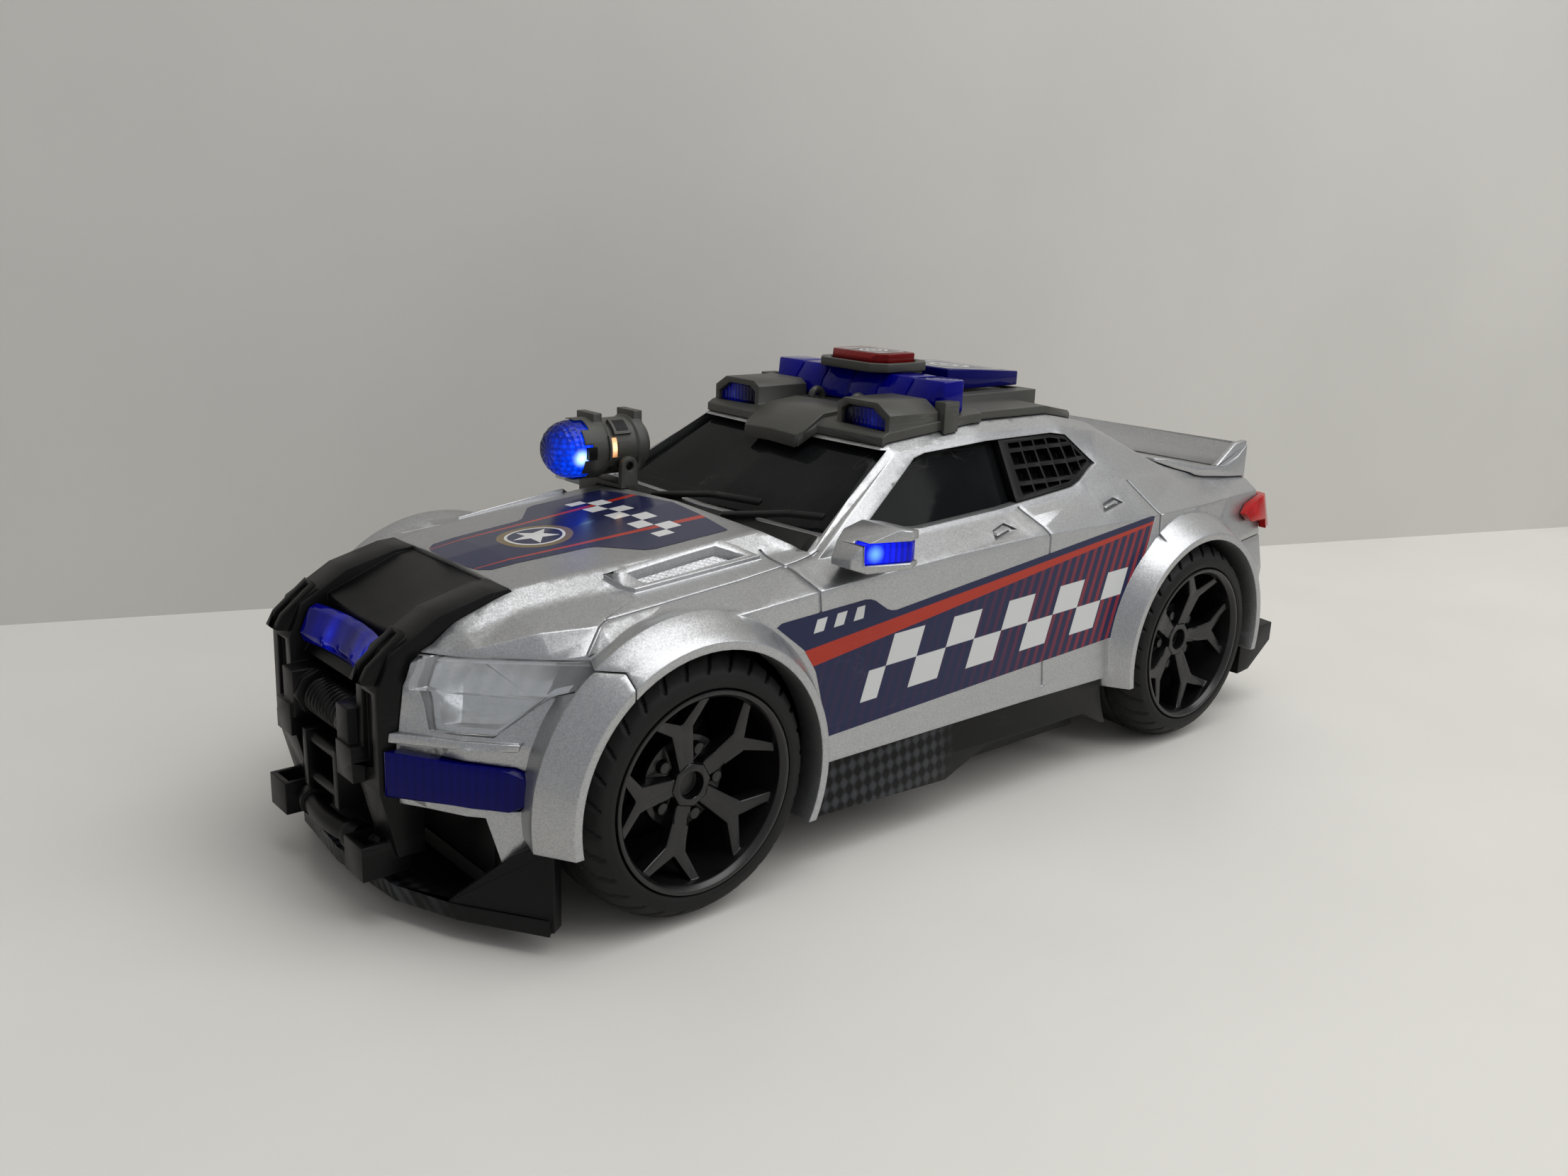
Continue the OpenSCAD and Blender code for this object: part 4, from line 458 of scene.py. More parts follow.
def softened_copy(node: bpy.types.Object, name: str, soft: Softening, form: BodyForm) -> bpy.types.Object:
    """Copy of a frame node with merged points, rounded edges and smooth shading.

    Args:
        node: The node's object.
        name: Name of the copy.
        soft: How its edges and normals are softened.
        form: Body form that gives smooth normals where the copy follows it.

    Returns:
        The new object, at the origin.
    """
    work = bmesh.new()
    work.from_mesh(node.data)
    bmesh.ops.remove_doubles(work, verts=work.verts, dist=MERGE)
    bmesh.ops.dissolve_limit(work, angle_limit=FLAT_ANGLE, verts=work.verts, edges=work.edges, delimit=set())
    sharp = math.radians(soft.sharp)
    edges = [
        e for e in work.edges
        if len(e.link_faces) == 2 and e.calc_face_angle(0.0) > sharp and e.calc_length() > soft.shortest * soft.edge
    ]
    bmesh.ops.bevel(
        work, geom=edges, offset=soft.edge, offset_type="OFFSET", segments=soft.steps, profile=0.5, affect="EDGES",
        clamp_overlap=False, miter_outer="SHARP", loop_slide=True,
    )
    mesh = bpy.data.meshes.new(name)
    if soft.follows:
        split_skin(work, mesh, soft, form)
    work.to_mesh(mesh)
    work.free()
    mesh.shade_smooth()
    mesh.set_sharp_from_angle(angle=sharp)
    if soft.follows:
        follow_form(mesh, soft, form)
    return add_object(name, mesh)


def split_skin(work: bmesh.types.BMesh, mesh: bpy.types.Mesh, soft: Softening, form: BodyForm) -> None:
    """Splits the long edges that lie on the body form, so that its smooth normals have corners to sit on.

    Args:
        work: Mesh that is split.
        mesh: Mesh that its points are read from after each round.
        soft: How far and how often edges are split.
        form: The body form.
    """
    bmesh.ops.triangulate(work, faces=work.faces)
    for _ in range(soft.rounds):
        work.verts.index_update()
        work.to_mesh(mesh)
        skin = form.nearest(column(mesh.vertices, "co", 3).astype(float))[0] < soft.reach
        long = [e for e in work.edges if e.calc_length() > soft.pitch and all(skin[v.index] for v in e.verts)]
        bmesh.ops.subdivide_edges(work, edges=long, cuts=1)
        bmesh.ops.triangulate(work, faces=[f for f in work.faces if len(f.verts) > 3])


def follow_form(mesh: bpy.types.Mesh, soft: Softening, form: BodyForm) -> None:
    """Gives the corners of faces that lie on the body form the form's own smooth normals."""
    corner = column(mesh.corner_normals, "vector", 3).astype(float)
    sizes = column(mesh.polygons, "loop_total", 1, np.int32)[:, 0]
    flat = np.repeat(column(mesh.polygons, "normal", 3).astype(float), sizes, axis=0)
    place = column(mesh.vertices, "co", 3).astype(float)[column(mesh.loops, "vertex_index", 1, np.int32)[:, 0]]
    starts = np.cumsum(sizes) - sizes
    middle = np.repeat(np.add.reduceat(place, starts, axis=0) / sizes[:, None], sizes, axis=0)
    gap, normal = form.nearest(place + (middle - place) * soft.nudge)
    fits = (gap < soft.reach) & ((normal * flat).sum(axis=1) > math.cos(math.radians(soft.lean)))
    corner[fits] = normal[fits]
    mesh.normals_split_custom_set(corner.tolist())


# Shader groups and finishes


ORIGIN: Point = (0.0, 0.0, 0.0)
IN_PLAN: Point = (1.0, 1.0, 0.0)


class Wiring:
    """Short hand for adding and joining nodes in one node tree."""

    def __init__(self, tree: bpy.types.NodeTree) -> None:
        """Keeps the tree that nodes are added to."""
        self.tree = tree

    def add(self, kind: str, inputs: dict[Any, Any] | None = None, **settings: Any) -> bpy.types.Node:
        """Adds a node.

        Args:
            kind: Type name of the node.
            inputs: Values or sockets for its inputs, by name or number.
            settings: Properties of the node.

        Returns:
            The node.
        """
        made = self.tree.nodes.new(kind)
        for key, value in settings.items():
            setattr(made, key, value)
        for key, value in (inputs or {}).items():
            self.put(made.inputs[key], value)
        return made

    def put(self, socket: Socket, value: Any) -> None:
        """Joins another socket to this one, or sets its own value."""
        if isinstance(value, bpy.types.NodeSocket):
            self.tree.links.new(value, socket)
        elif socket.type == "RGBA" and len(value) == 3:
            socket.default_value = (*value, 1.0)
        else:
            socket.default_value = value

    def math(self, operation: str, a: Any, b: Any = 0.0, c: Any = 0.0, clamp: bool = False) -> Socket:
        """Result of a sum on one to three values."""
        return self.add("ShaderNodeMath", {0: a, 1: b, 2: c}, operation=operation, use_clamp=clamp).outputs[0]

    def times(self, *values: Any) -> Socket:
        """Product of two or more values."""
        return reduce(lambda a, b: self.math("MULTIPLY", a, b), values)

    def vector(self, operation: str, a: Any, b: Any = ORIGIN) -> Socket:
        """Vector that comes of one or two vectors."""
        return self.add("ShaderNodeVectorMath", {0: a, 1: b}, operation=operation).outputs[0]

    def measure(self, operation: str, a: Any, b: Any = ORIGIN) -> Socket:
        """Number that comes of one or two vectors, such as a length."""
        return self.add("ShaderNodeVectorMath", {0: a, 1: b}, operation=operation).outputs["Value"]

    def way(self, place: Any, direction: Any) -> Socket:
        """How far a place lies along a direction."""
        return self.measure("DOT_PRODUCT", place, self.vector("NORMALIZE", direction))

    def split(self, vector: Any) -> Any:
        """The three parts of a vector."""
        return self.add("ShaderNodeSeparateXYZ", {0: vector}).outputs

    def noise(self, place: Any, scale: Any, **inputs: float) -> Socket:
        """Value of a noise texture."""
        return self.add("ShaderNodeTexNoise", {"Vector": place, "Scale": scale, **inputs}).outputs[0]

    def ramp(self, value: Any, low: float, high: float, to_low: float = 0.0, to_high: float = 1.0) -> Socket:
        """Value carried from one range to another, eased and held at the ends."""
        return self.add(
            "ShaderNodeMapRange", {0: value, 1: low, 2: high, 3: to_low, 4: to_high},
            interpolation_type="SMOOTHSTEP",
        ).outputs[0]

    def blend(self, share: Any, a: Any, b: Any) -> Socket:
        """Colour between a and b."""
        return self.add("ShaderNodeMix", {0: share, 6: a, 7: b}, data_type="RGBA").outputs[2]

    def group(self, name: str, **inputs: Any) -> Any:
        """Outputs of a shared group with its own values."""
        made = self.add("ShaderNodeGroup", node_tree=SHELF.get(name))
        for key, value in inputs.items():
            self.put(made.inputs[key], value)
        return made.outputs


class GroupWiring(Wiring):
    """Wiring of a shared group, with its inputs in `got`."""

    def __init__(self, name: str, inputs: dict[str, Any], *outputs: str) -> None:
        """Makes the group.

        Args:
            name: Name of the group.
            inputs: Default of each input besides "Vector"; a tuple is a vector, a number a value.
            outputs: Names of the outputs, of which "Normal" is a vector.
        """
        super().__init__(bpy.data.node_groups.new(name, "ShaderNodeTree"))
        for key, value in {"Vector": ORIGIN, **inputs}.items():
            kind = "NodeSocketVector" if isinstance(value, tuple) else "NodeSocketFloat"
            self.tree.interface.new_socket(name=key, in_out="INPUT", socket_type=kind).default_value = value
        for key in outputs:
            kind = "NodeSocketVector" if key == "Normal" else "NodeSocketFloat"
            self.tree.interface.new_socket(name=key, in_out="OUTPUT", socket_type=kind)
        self.got = self.add("NodeGroupInput").outputs
        self.given = self.add("NodeGroupOutput").inputs

    def give(self, name: str, value: Any) -> None:
        """Joins a value to an output."""
        self.put(self.given[name], value)


class SurfaceWiring(Wiring):
    """Wiring of a material, with its Principled shader and its object coordinates."""

    def __init__(self, material: bpy.types.Material) -> None:
        """Clears the material and gives it a plain shader."""
        material.use_nodes = True
        material.node_tree.nodes.clear()
        super().__init__(material.node_tree)
        self.shader = self.add("ShaderNodeBsdfPrincipled")
        self.add("ShaderNodeOutputMaterial", {"Surface": self.shader.outputs[0]})
        self.place = self.add("ShaderNodeTexCoord").outputs["Object"]

    def set(self, **values: Any) -> None:
        """Puts values into the shader's inputs, each named with low lines for spaces."""
        for key, value in values.items():
            self.put(self.shader.inputs[key.replace("_", " ")], value)

    def group(self, name: str, **inputs: Any) -> Any:
        """Outputs of a shared group at the object's own coordinates, unless told otherwise."""
        return super().group(name, **{"Vector": self.place, **inputs})

    def mask(self, name: str, **inputs: Any) -> Socket:
        """Mask of a shared group."""
        return self.group(name, **inputs)["Mask"]

    def bump(self, height: Any, strength: float, distance: float) -> None:
        """Lets a height bend the shader's normal."""
        self.set(Normal=self.add(
            "ShaderNodeBump", {"Height": height, "Strength": strength, "Distance": distance}).outputs[0])


@dataclass
class GroupShelf:
    """Shader groups shared by the finishes, each built once."""

    made: dict[str, bpy.types.NodeTree] = field(default_factory=dict)

    def get(self, name: str) -> bpy.types.NodeTree:
        """Tree of a group, built on first use by the method of that name."""
        if name not in self.made:
            self.made[name] = getattr(self, name)().tree
        return self.made[name]

    def flake(self) -> GroupWiring:
        """Metal flake: cells of random tint that tilt the normal, and slow clouds over them."""
        w = GroupWiring("metal_flake", {"Scale": 2600.0, "Tilt": 0.12}, "Tint", "Cloud", "Normal")
        cells = w.add("ShaderNodeTexVoronoi", {"Vector": w.got["Vector"], "Scale": w.got["Scale"]}).outputs["Color"]
        loose = w.vector("SUBTRACT", cells, (0.5, 0.5, 0.5))
        lean = w.add("ShaderNodeVectorMath", {0: loose, "Scale": w.got["Tilt"]}, operation="SCALE").outputs[0]
        face = w.add("ShaderNodeNewGeometry").outputs["Normal"]
        w.give("Tint", w.add("ShaderNodeSeparateColor", {0: cells}).outputs[0])
        w.give("Cloud", w.noise(w.got["Vector"], 45.0, Detail=3.0))
        w.give("Normal", w.vector("NORMALIZE", w.vector("ADD", face, lean)))
        return w

    def grain(self) -> GroupWiring:
        """Moulded grain: fine pitting with slow patches of handling over it."""
        w = GroupWiring("moulded_grain", {"Scale": 1800.0}, "Height", "Patch")
        w.give("Height", w.noise(w.got["Vector"], w.got["Scale"], Detail=2.0, Roughness=0.6))
        w.give("Patch", w.ramp(w.noise(w.got["Vector"], 38.0, Detail=5.0), 0.35, 0.68))
        return w

    def scratches(self) -> GroupWiring:
        """Fine handling scratches: thin bright threads of stretched noise along two leanings."""
        w = GroupWiring("handling_scratches", {"Scale": 60.0}, "Mask")
        threads = []
        for turn, stretch in (((0.3, 0.5, 0.4), (1.0, 0.08, 1.0)), ((-0.5, 0.2, 0.9), (0.09, 1.0, 1.0))):
            moved = w.add("ShaderNodeMapping", {"Vector": w.got["Vector"], "Rotation": turn, "Scale": stretch})
            noise = w.noise(moved.outputs[0], w.got["Scale"], Detail=4.0)
            threads.append(w.ramp(w.math("ABSOLUTE", w.math("SUBTRACT", noise, 0.5)), 0.0, 0.006, 1.0, 0.0))
        patchy = w.ramp(w.noise(w.got["Vector"], 24.0), 0.5, 0.62)
        w.give("Mask", w.times(w.math("MAXIMUM", *threads), patchy))
        return w

    def half_plane(self) -> GroupWiring:
        """Mask of one side of a straight line: the way from a point along a direction, cut at zero."""
        w = GroupWiring("half_plane", {"Point": ORIGIN, "Direction": (0, 0, 1), "Blur": 0.00008}, "Mask")
        far = w.way(w.vector("SUBTRACT", w.got["Vector"], w.got["Point"]), w.got["Direction"])
        w.give("Mask", w.math("MULTIPLY_ADD", w.math("DIVIDE", far, w.got["Blur"]), 0.5, 0.5, True))
        return w

    def stripes(self) -> GroupWiring:
        """Mask of even stripes: the way along a direction over the pitch, kept where its fraction is low."""
        w = GroupWiring("stripes", {"Direction": (0, 1, 0), "Pitch": 0.004, "Share": 0.4, "Offset": 0.0}, "Mask")
        far = w.math("ADD", w.way(w.got["Vector"], w.got["Direction"]), w.got["Offset"])
        w.give("Mask", w.math("LESS_THAN", w.math("FRACT", w.math("DIVIDE", far, w.got["Pitch"])), w.got["Share"]))
        return w

    def glow(self) -> GroupWiring:
        """Glow of a small lamp: a hot core and a wide halo by the distance from its place."""
        w = GroupWiring("lamp_glow", {"Centre": ORIGIN, "Core": 0.002, "Halo": 0.012}, "Core", "Halo")
        far = w.measure("DISTANCE", w.got["Vector"], w.got["Centre"])
        for name in ("Core", "Halo"):
            share = w.math("SUBTRACT", 1.0, w.math("DIVIDE", far, w.got[name]), clamp=True)
            w.give(name, w.math("POWER", share, 1.6))
        return w

    def weave(self) -> GroupWiring:
        """Printed diamond weave: two crossing waves whose product lights every other diamond."""
        w = GroupWiring("diamond_weave", {"First": (0, 1, 1), "Second": (0, 1, -1), "Pitch": 0.0042}, "Mask")
        waves = [
            w.math("SINE", w.times(w.math("DIVIDE", w.way(w.got["Vector"], w.got[name]), w.got["Pitch"]), FULL_TURN))
            for name in ("First", "Second")
        ]
        w.give("Mask", w.ramp(w.times(*waves), -0.5, 0.8))
        return w


SHELF = GroupShelf()


@dataclass(frozen=True)
class Finish:
    """Base of the finishes: a name, the record's material slot, and a material built once.

    Attributes:
        name: Name of the material.
        slot: Material slot of the record; not used.
    """

    name: str
    slot: str

    def material(self) -> bpy.types.Material:
        """The finish's material, made on first use."""
        found = bpy.data.materials.get(self.name)
        if found is None:
            found = bpy.data.materials.new(self.name)
            self.wire(SurfaceWiring(found))
        return found

    def wire(self, w: SurfaceWiring) -> None:
        """Wires the finish's own detail into the shader."""
        raise NotImplementedError


@dataclass(frozen=True)
class FlakePaint(Finish):
    """Silver paint with metal flake under a thin clear coat."""

    dark: Colour = (0.36, 0.365, 0.37)
    light: Colour = (0.46, 0.465, 0.47)
    rough: float = 0.34
    metal: float = 0.88
    tilt: float = 0.055
    coat: float = 0.12
    coat_rough: float = 0.18

    def wire(self, w: SurfaceWiring) -> None:
        """Tints and tilts each flake, and lets slow clouds and scratches change the gloss."""
        flake = w.group("flake", Scale=3400.0, Tilt=self.tilt)
        gloss = w.ramp(flake["Cloud"], 0.3, 0.7, self.rough - 0.035, self.rough + 0.045)
        w.set(
            Base_Color=w.blend(flake["Tint"], self.dark, self.light), Normal=flake["Normal"],
            Roughness=w.math("MULTIPLY_ADD", w.mask("scratches", Scale=42.0), 0.12, gloss),
            Metallic=self.metal, Coat_Weight=self.coat, Coat_Roughness=self.coat_rough,
        )


@dataclass(frozen=True)
class Moulded(Finish):
    """Moulded plastic with a fine pitted grain, handled patches and light scratches."""

    colour: Colour = (0.0026, 0.0026, 0.0028)
    worn: Colour = (0.008, 0.008, 0.0083)
    rough: float = 0.36
    spread: float = 0.06
    scale: float = 1700.0
    depth: float = 0.3
    sheen: float = 0.17

    def wire(self, w: SurfaceWiring) -> None:
        """Grain drives the bump, patches the gloss, and scratches the colour."""
        grain = w.group("grain", Scale=self.scale)
        tint = w.math("MULTIPLY_ADD", grain["Patch"], 0.35, w.times(w.mask("scratches", Scale=55.0), 0.6))
        w.set(
            Base_Color=w.blend(tint, self.colour, self.worn), Specular_IOR_Level=self.sheen,
            Roughness=w.ramp(grain["Patch"], 0, 1, self.rough - self.spread, self.rough + self.spread),
        )
        w.bump(grain["Height"], self.depth, 0.05 * MM)


@dataclass(frozen=True)
class CarbonPrint(Moulded):
    """Black moulding with a diamond print in front of a place.

    Attributes:
        start: Place where the print begins.
        first: First direction of the weave.
        second: Second direction of the weave.
        print_colour: Colour of the lit diamonds.
        print_gloss: How much smoother they are.
    """

    start: Point = ORIGIN
    first: Point = (1.0, 1.0, 1.0)
    second: Point = (1.0, -1.0, 0.6)
    print_colour: Colour = (0.04, 0.042, 0.046)
    print_gloss: float = 0.14

    def wire(self, w: SurfaceWiring) -> None:
        """Adds the lit diamonds to the moulding's grain."""
        super().wire(w)
        base, rough = (w.shader.inputs[key].links[0].from_socket for key in ("Base Color", "Roughness"))
        zone = w.mask("half_plane", Point=self.start, Direction=(0.0, -1.0, 0.0), Blur=0.004)
        lit = w.times(w.mask("weave", First=self.first, Second=self.second), zone)
        w.set(
            Base_Color=w.blend(lit, base, self.print_colour),
            Roughness=w.math("SUBTRACT", rough, w.times(lit, self.print_gloss)),
        )


@dataclass(frozen=True)
class SmokedGlass(Finish):
    """Smoked glossy moulding that shows black, with faint dust and scratches."""

    colour: Colour = (0.004, 0.0044, 0.0048)
    dusty: Colour = (0.03, 0.03, 0.03)

    def wire(self, w: SurfaceWiring) -> None:
        """Dust lifts the colour and the roughness a little."""
        patch_dust = w.times(w.group("grain", Scale=900.0)["Patch"], 0.18)
        dust = w.math("MULTIPLY_ADD", w.mask("scratches", Scale=48.0), 0.5, patch_dust)
        w.set(
            Base_Color=w.blend(dust, self.colour, self.dusty), Roughness=w.ramp(dust, 0, 1, 0.06, 0.3),
            IOR=1.24, Specular_IOR_Level=0.22,
        )


@dataclass(frozen=True)
class Lens(Finish):
    """Clear coloured lens with moulded prisms, and lamps behind it where it is lit.

    Attributes:
        colour: Colour of the plastic.
        clear: Share of light that passes.
        ior: Bending of light in it.
        shine: Strength of its reflections.
        rough: Roughness of its skin.
        prism: Direction across the moulded prisms.
        pitch: Pitch of the prisms, or 0 for dimples.
        relief: Strength of the prisms.
        lamps: Places of lit lamps.
        core: Radius of a lamp's hot core.
        halo: Radius of its halo.
        hot: Colour of the core.
        glow: Colour of the halo.
        power: Strength of the light.
    """

    colour: Colour = (0.0003, 0.0003, 0.016)
    clear: float = 0.35
    ior: float = 1.49
    shine: float = 0.12
    rough: float = 0.08
    prism: Point = (1.0, 0.0, 0.0)
    pitch: float = 0.0016
    relief: float = 0.25
    lamps: tuple[Point, ...] = ()
    core: float = 0.004
    halo: float = 0.02
    hot: Colour = (0.35, 0.75, 1.0)
    glow: Colour = (0.005, 0.02, 0.9)
    power: float = 2.2

    def wire(self, w: SurfaceWiring) -> None:
        """Prisms or dimples bend the light, a painted highlight lightens the colour on their crests, and each lamp
        adds its core and halo.
        """
        if self.pitch > 0:
            wave = w.math("SINE", w.times(w.way(w.place, self.prism), FULL_TURN / self.pitch))
            relief = w.math("MULTIPLY_ADD", wave, 0.5, 0.5)
        else:
            cells = w.add("ShaderNodeTexVoronoi", {"Vector": w.place, "Scale": 620.0, "Randomness": 0.25})
            relief = w.ramp(cells.outputs["Distance"], 0.1, 0.7, 1.0, 0.0)
        haze = w.group("grain", Scale=500.0)["Patch"]
        # Painted highlight: the colour is made lighter on the crests of the prisms or dimples.
        painted_crest_highlight = tuple(min(1.0, c * 1.6 + 0.001) for c in self.colour)
        w.bump(relief, self.relief, 0.3 * MM)
        w.set(
            Base_Color=w.blend(w.times(relief, 0.4), self.colour, painted_crest_highlight),
            Roughness=w.ramp(haze, 0, 1, self.rough, self.rough + 0.08),
            Transmission_Weight=self.clear, IOR=self.ior, Specular_IOR_Level=self.shine,
        )
        light: Any = ORIGIN
        for lamp in self.lamps:
            glow = w.group("glow", Centre=lamp, Core=self.core, Halo=self.halo)
            broken = w.times(glow["Halo"], w.math("MULTIPLY_ADD", relief, 0.7, 0.45))
            light = w.blend(glow["Core"], w.blend(broken, light, self.glow), self.hot)
        if self.lamps:
            w.set(Emission_Color=light, Emission_Strength=self.power)


@dataclass(frozen=True)
class Rubber(Finish):
    """Tyre rubber: dull black with a soft bloom and fine pores."""

    colour: Colour = (0.006, 0.006, 0.006)
    bloom: Colour = (0.016, 0.016, 0.0155)

    def wire(self, w: SurfaceWiring) -> None:
        """Bloom greys the rubber in patches, pores roughen it."""
        grain = w.group("grain", Scale=2600.0)
        w.set(
            Base_Color=w.blend(w.times(grain["Patch"], 0.5), self.colour, self.bloom),
            Roughness=w.ramp(grain["Patch"], 0, 1, 0.5, 0.66), Specular_IOR_Level=0.2,
        )
        w.bump(grain["Height"], 0.35, 0.06 * MM)


@dataclass(frozen=True)
class TurnedSteel(Finish):
    """Bright steel with fine turning lines and a little tarnish."""

    colour: Colour = (0.52, 0.53, 0.54)
    tarnish: Colour = (0.4, 0.39, 0.37)

    def wire(self, w: SurfaceWiring) -> None:
        """Turning lines across the axle and tarnish patches."""
        lines = w.mask("stripes", Direction=(1, 0.02, 0.05), Pitch=0.0004, Share=0.5)
        w.set(
            Base_Color=w.blend(w.group("grain", Scale=1500.0)["Patch"], self.colour, self.tarnish),
            Roughness=w.math("MULTIPLY_ADD", lines, 0.06, 0.24), Metallic=1.0,
        )


@dataclass(frozen=True)
class CircuitBoard(Finish):
    """Green board with copper tracks under the lacquer."""

    lacquer: Colour = (0.008, 0.10, 0.035)
    track: Colour = (0.03, 0.22, 0.07)

    def wire(self, w: SurfaceWiring) -> None:
        """Two sets of tracks, broken up by slow noise."""
        along = w.mask("stripes", Direction=(1, 0, 0), Pitch=0.0021, Share=0.35)
        across = w.mask("stripes", Direction=(0, 1, 0), Pitch=0.0033, Share=0.25)
        grain = w.group("grain", Scale=700.0)
        track = w.add("ShaderNodeMix", {0: grain["Patch"], 2: along, 3: across}).outputs[0]
        w.set(
            Base_Color=w.blend(track, self.lacquer, self.track),
            Roughness=w.ramp(grain["Height"], 0.3, 0.7, 0.25, 0.4),
        )


@dataclass(frozen=True)
class CellJacket(Finish):
    """Plain two-tone jacket of a dry cell, with bright ends."""

    split: float = 0.012
    end: float = 0.0235

    def wire(self, w: SurfaceWiring) -> None:
        """Copper band at one end, dark sleeve, and bare metal past the jacket."""
        band, bare = (w.mask("half_plane", Point=(x, 0, 0), Direction=(1, 0, 0)) for x in (self.split, self.end))
        sleeve = w.blend(band, (0.012, 0.012, 0.014), (0.45, 0.2, 0.06))
        w.set(
            Base_Color=w.blend(bare, sleeve, (0.5, 0.5, 0.5)), Metallic=w.math("MAXIMUM", band, bare),
            Roughness=w.ramp(w.group("grain", Scale=1200.0)["Patch"], 0, 1, 0.25, 0.36),
        )


@dataclass(frozen=True)
class Film(Finish):
    """Base of the printed films: colours under a glossy skin with scratches and a faint ripple."""

    def wire(self, w: SurfaceWiring) -> None:
        """Lays the skin over the print."""
        marks = w.mask("scratches", Scale=50.0)
        grain = w.group("grain", Scale=420.0)
        w.set(
            Base_Color=w.blend(w.times(marks, 0.025), self.printed(w), (0.4, 0.4, 0.4)),
            Roughness=w.math("MULTIPLY_ADD", marks, 0.05, w.ramp(grain["Patch"], 0, 1, 0.14, 0.22)),
            Specular_IOR_Level=0.22,
        )
        w.bump(grain["Height"], 0.04, 0.05 * MM)

    def printed(self, w: SurfaceWiring) -> Socket:
        """Colour of the print."""
        raise NotImplementedError


@dataclass(frozen=True)
class SideFilm(Film):
    """Printed film of the doors: navy ground, a tapering red stripe, hatching and slanted white checks.

    Lines are pairs of places (y, z). In a frame of four lines the print lies above the first and last and
    below the two between them.
    """

    navy: Colour = (0.012, 0.016, 0.055)
    red: Colour = (0.36, 0.03, 0.015)
    hatch_red: Colour = (0.30, 0.022, 0.02)
    white: Colour = (0.55, 0.56, 0.55)
    stripe_low: Line = ((-0.0649, 0.0553), (0.0739, 0.0740))
    stripe_high: Line = ((-0.0686, 0.0597), (0.0737, 0.0750))
    band_z: tuple[float, float] = (0.0425, 0.0585)
    band_y: tuple[float, float] = (-0.047, 0.059)
    bars: tuple[Line, ...] = (
        ((-0.07, 0.0635), (-0.045, 0.0652)), ((-0.07, 0.0668), (-0.045, 0.0685)),
        ((-0.066, 0.06), (-0.0645, 0.07)), ((-0.0475, 0.06), (-0.046, 0.07)),
    )
    lean: float = 0.36
    rise: float = 0.035
    block: float = 0.0106

    def above(self, w: SurfaceWiring, flat: Socket, line: Line, sign: int = 1) -> Socket:
        """Mask above a line, or below it with the sign -1."""
        (y0, z0), (y1, z1) = line
        return w.mask(
            "half_plane", Vector=flat, Point=(0, y0, z0), Direction=(0, -(z1 - z0) * sign, (y1 - y0) * sign))

    def framed(self, w: SurfaceWiring, flat: Socket, mask: Socket, lines: Sequence[Line]) -> Socket:
        """Mask cut off by a frame of four lines."""
        return w.times(mask, *(self.above(w, flat, line, sign) for line, sign in zip(lines, (1, -1, -1, 1))))

    def slanted(self, w: SurfaceWiring, flat: Socket, pitch: float, share: float, offset: float = 0.0) -> Socket:
        """Mask of stripes that lean to the rear."""
        return w.mask(
            "stripes", Vector=flat, Direction=(0, 1, -self.lean), Pitch=pitch, Share=share, Offset=offset)

    def printed(self, w: SurfaceWiring) -> Socket:
        """Layers hatching, stripe, checks and short bars over the ground, each as a mask of lines."""
        flat = w.vector("MULTIPLY", w.place, (0, 1, 1))
        fade = w.ramp(w.split(w.place)[1], -0.02, 0.085, 0.03, 0.75)
        hatch = w.times(self.slanted(w, flat, 0.0036, 0.42), fade, self.above(w, flat, self.stripe_low, -1))
        stripe = w.times(self.above(w, flat, self.stripe_low), self.above(w, flat, self.stripe_high, -1))
        (low, high), (start, stop) = self.band_z, self.band_y
        climb, slip = self.rise * (stop - start), self.lean * (high - low)
        level = [((start, z), (stop, z + climb)) for z in (low, high, (low + high) / 2)]
        ends = [((y, low), (y + slip, high)) for y in (start, stop)]
        blocks = self.slanted(w, flat, 2 * self.block, 0.5)
        checks = w.math("ABSOLUTE", w.math("SUBTRACT", blocks, self.above(w, flat, level[2])))
        checks = self.framed(w, flat, checks, [*level[:2], *ends])
        bars = self.framed(w, flat, self.slanted(w, flat, 0.0062, 0.5, 0.001), self.bars)
        colour: Any = self.navy
        for mask, paint in ((hatch, self.hatch_red), (stripe, self.red), (checks, self.white), (bars, self.white)):
            colour = w.blend(mask, colour, paint)
        return colour


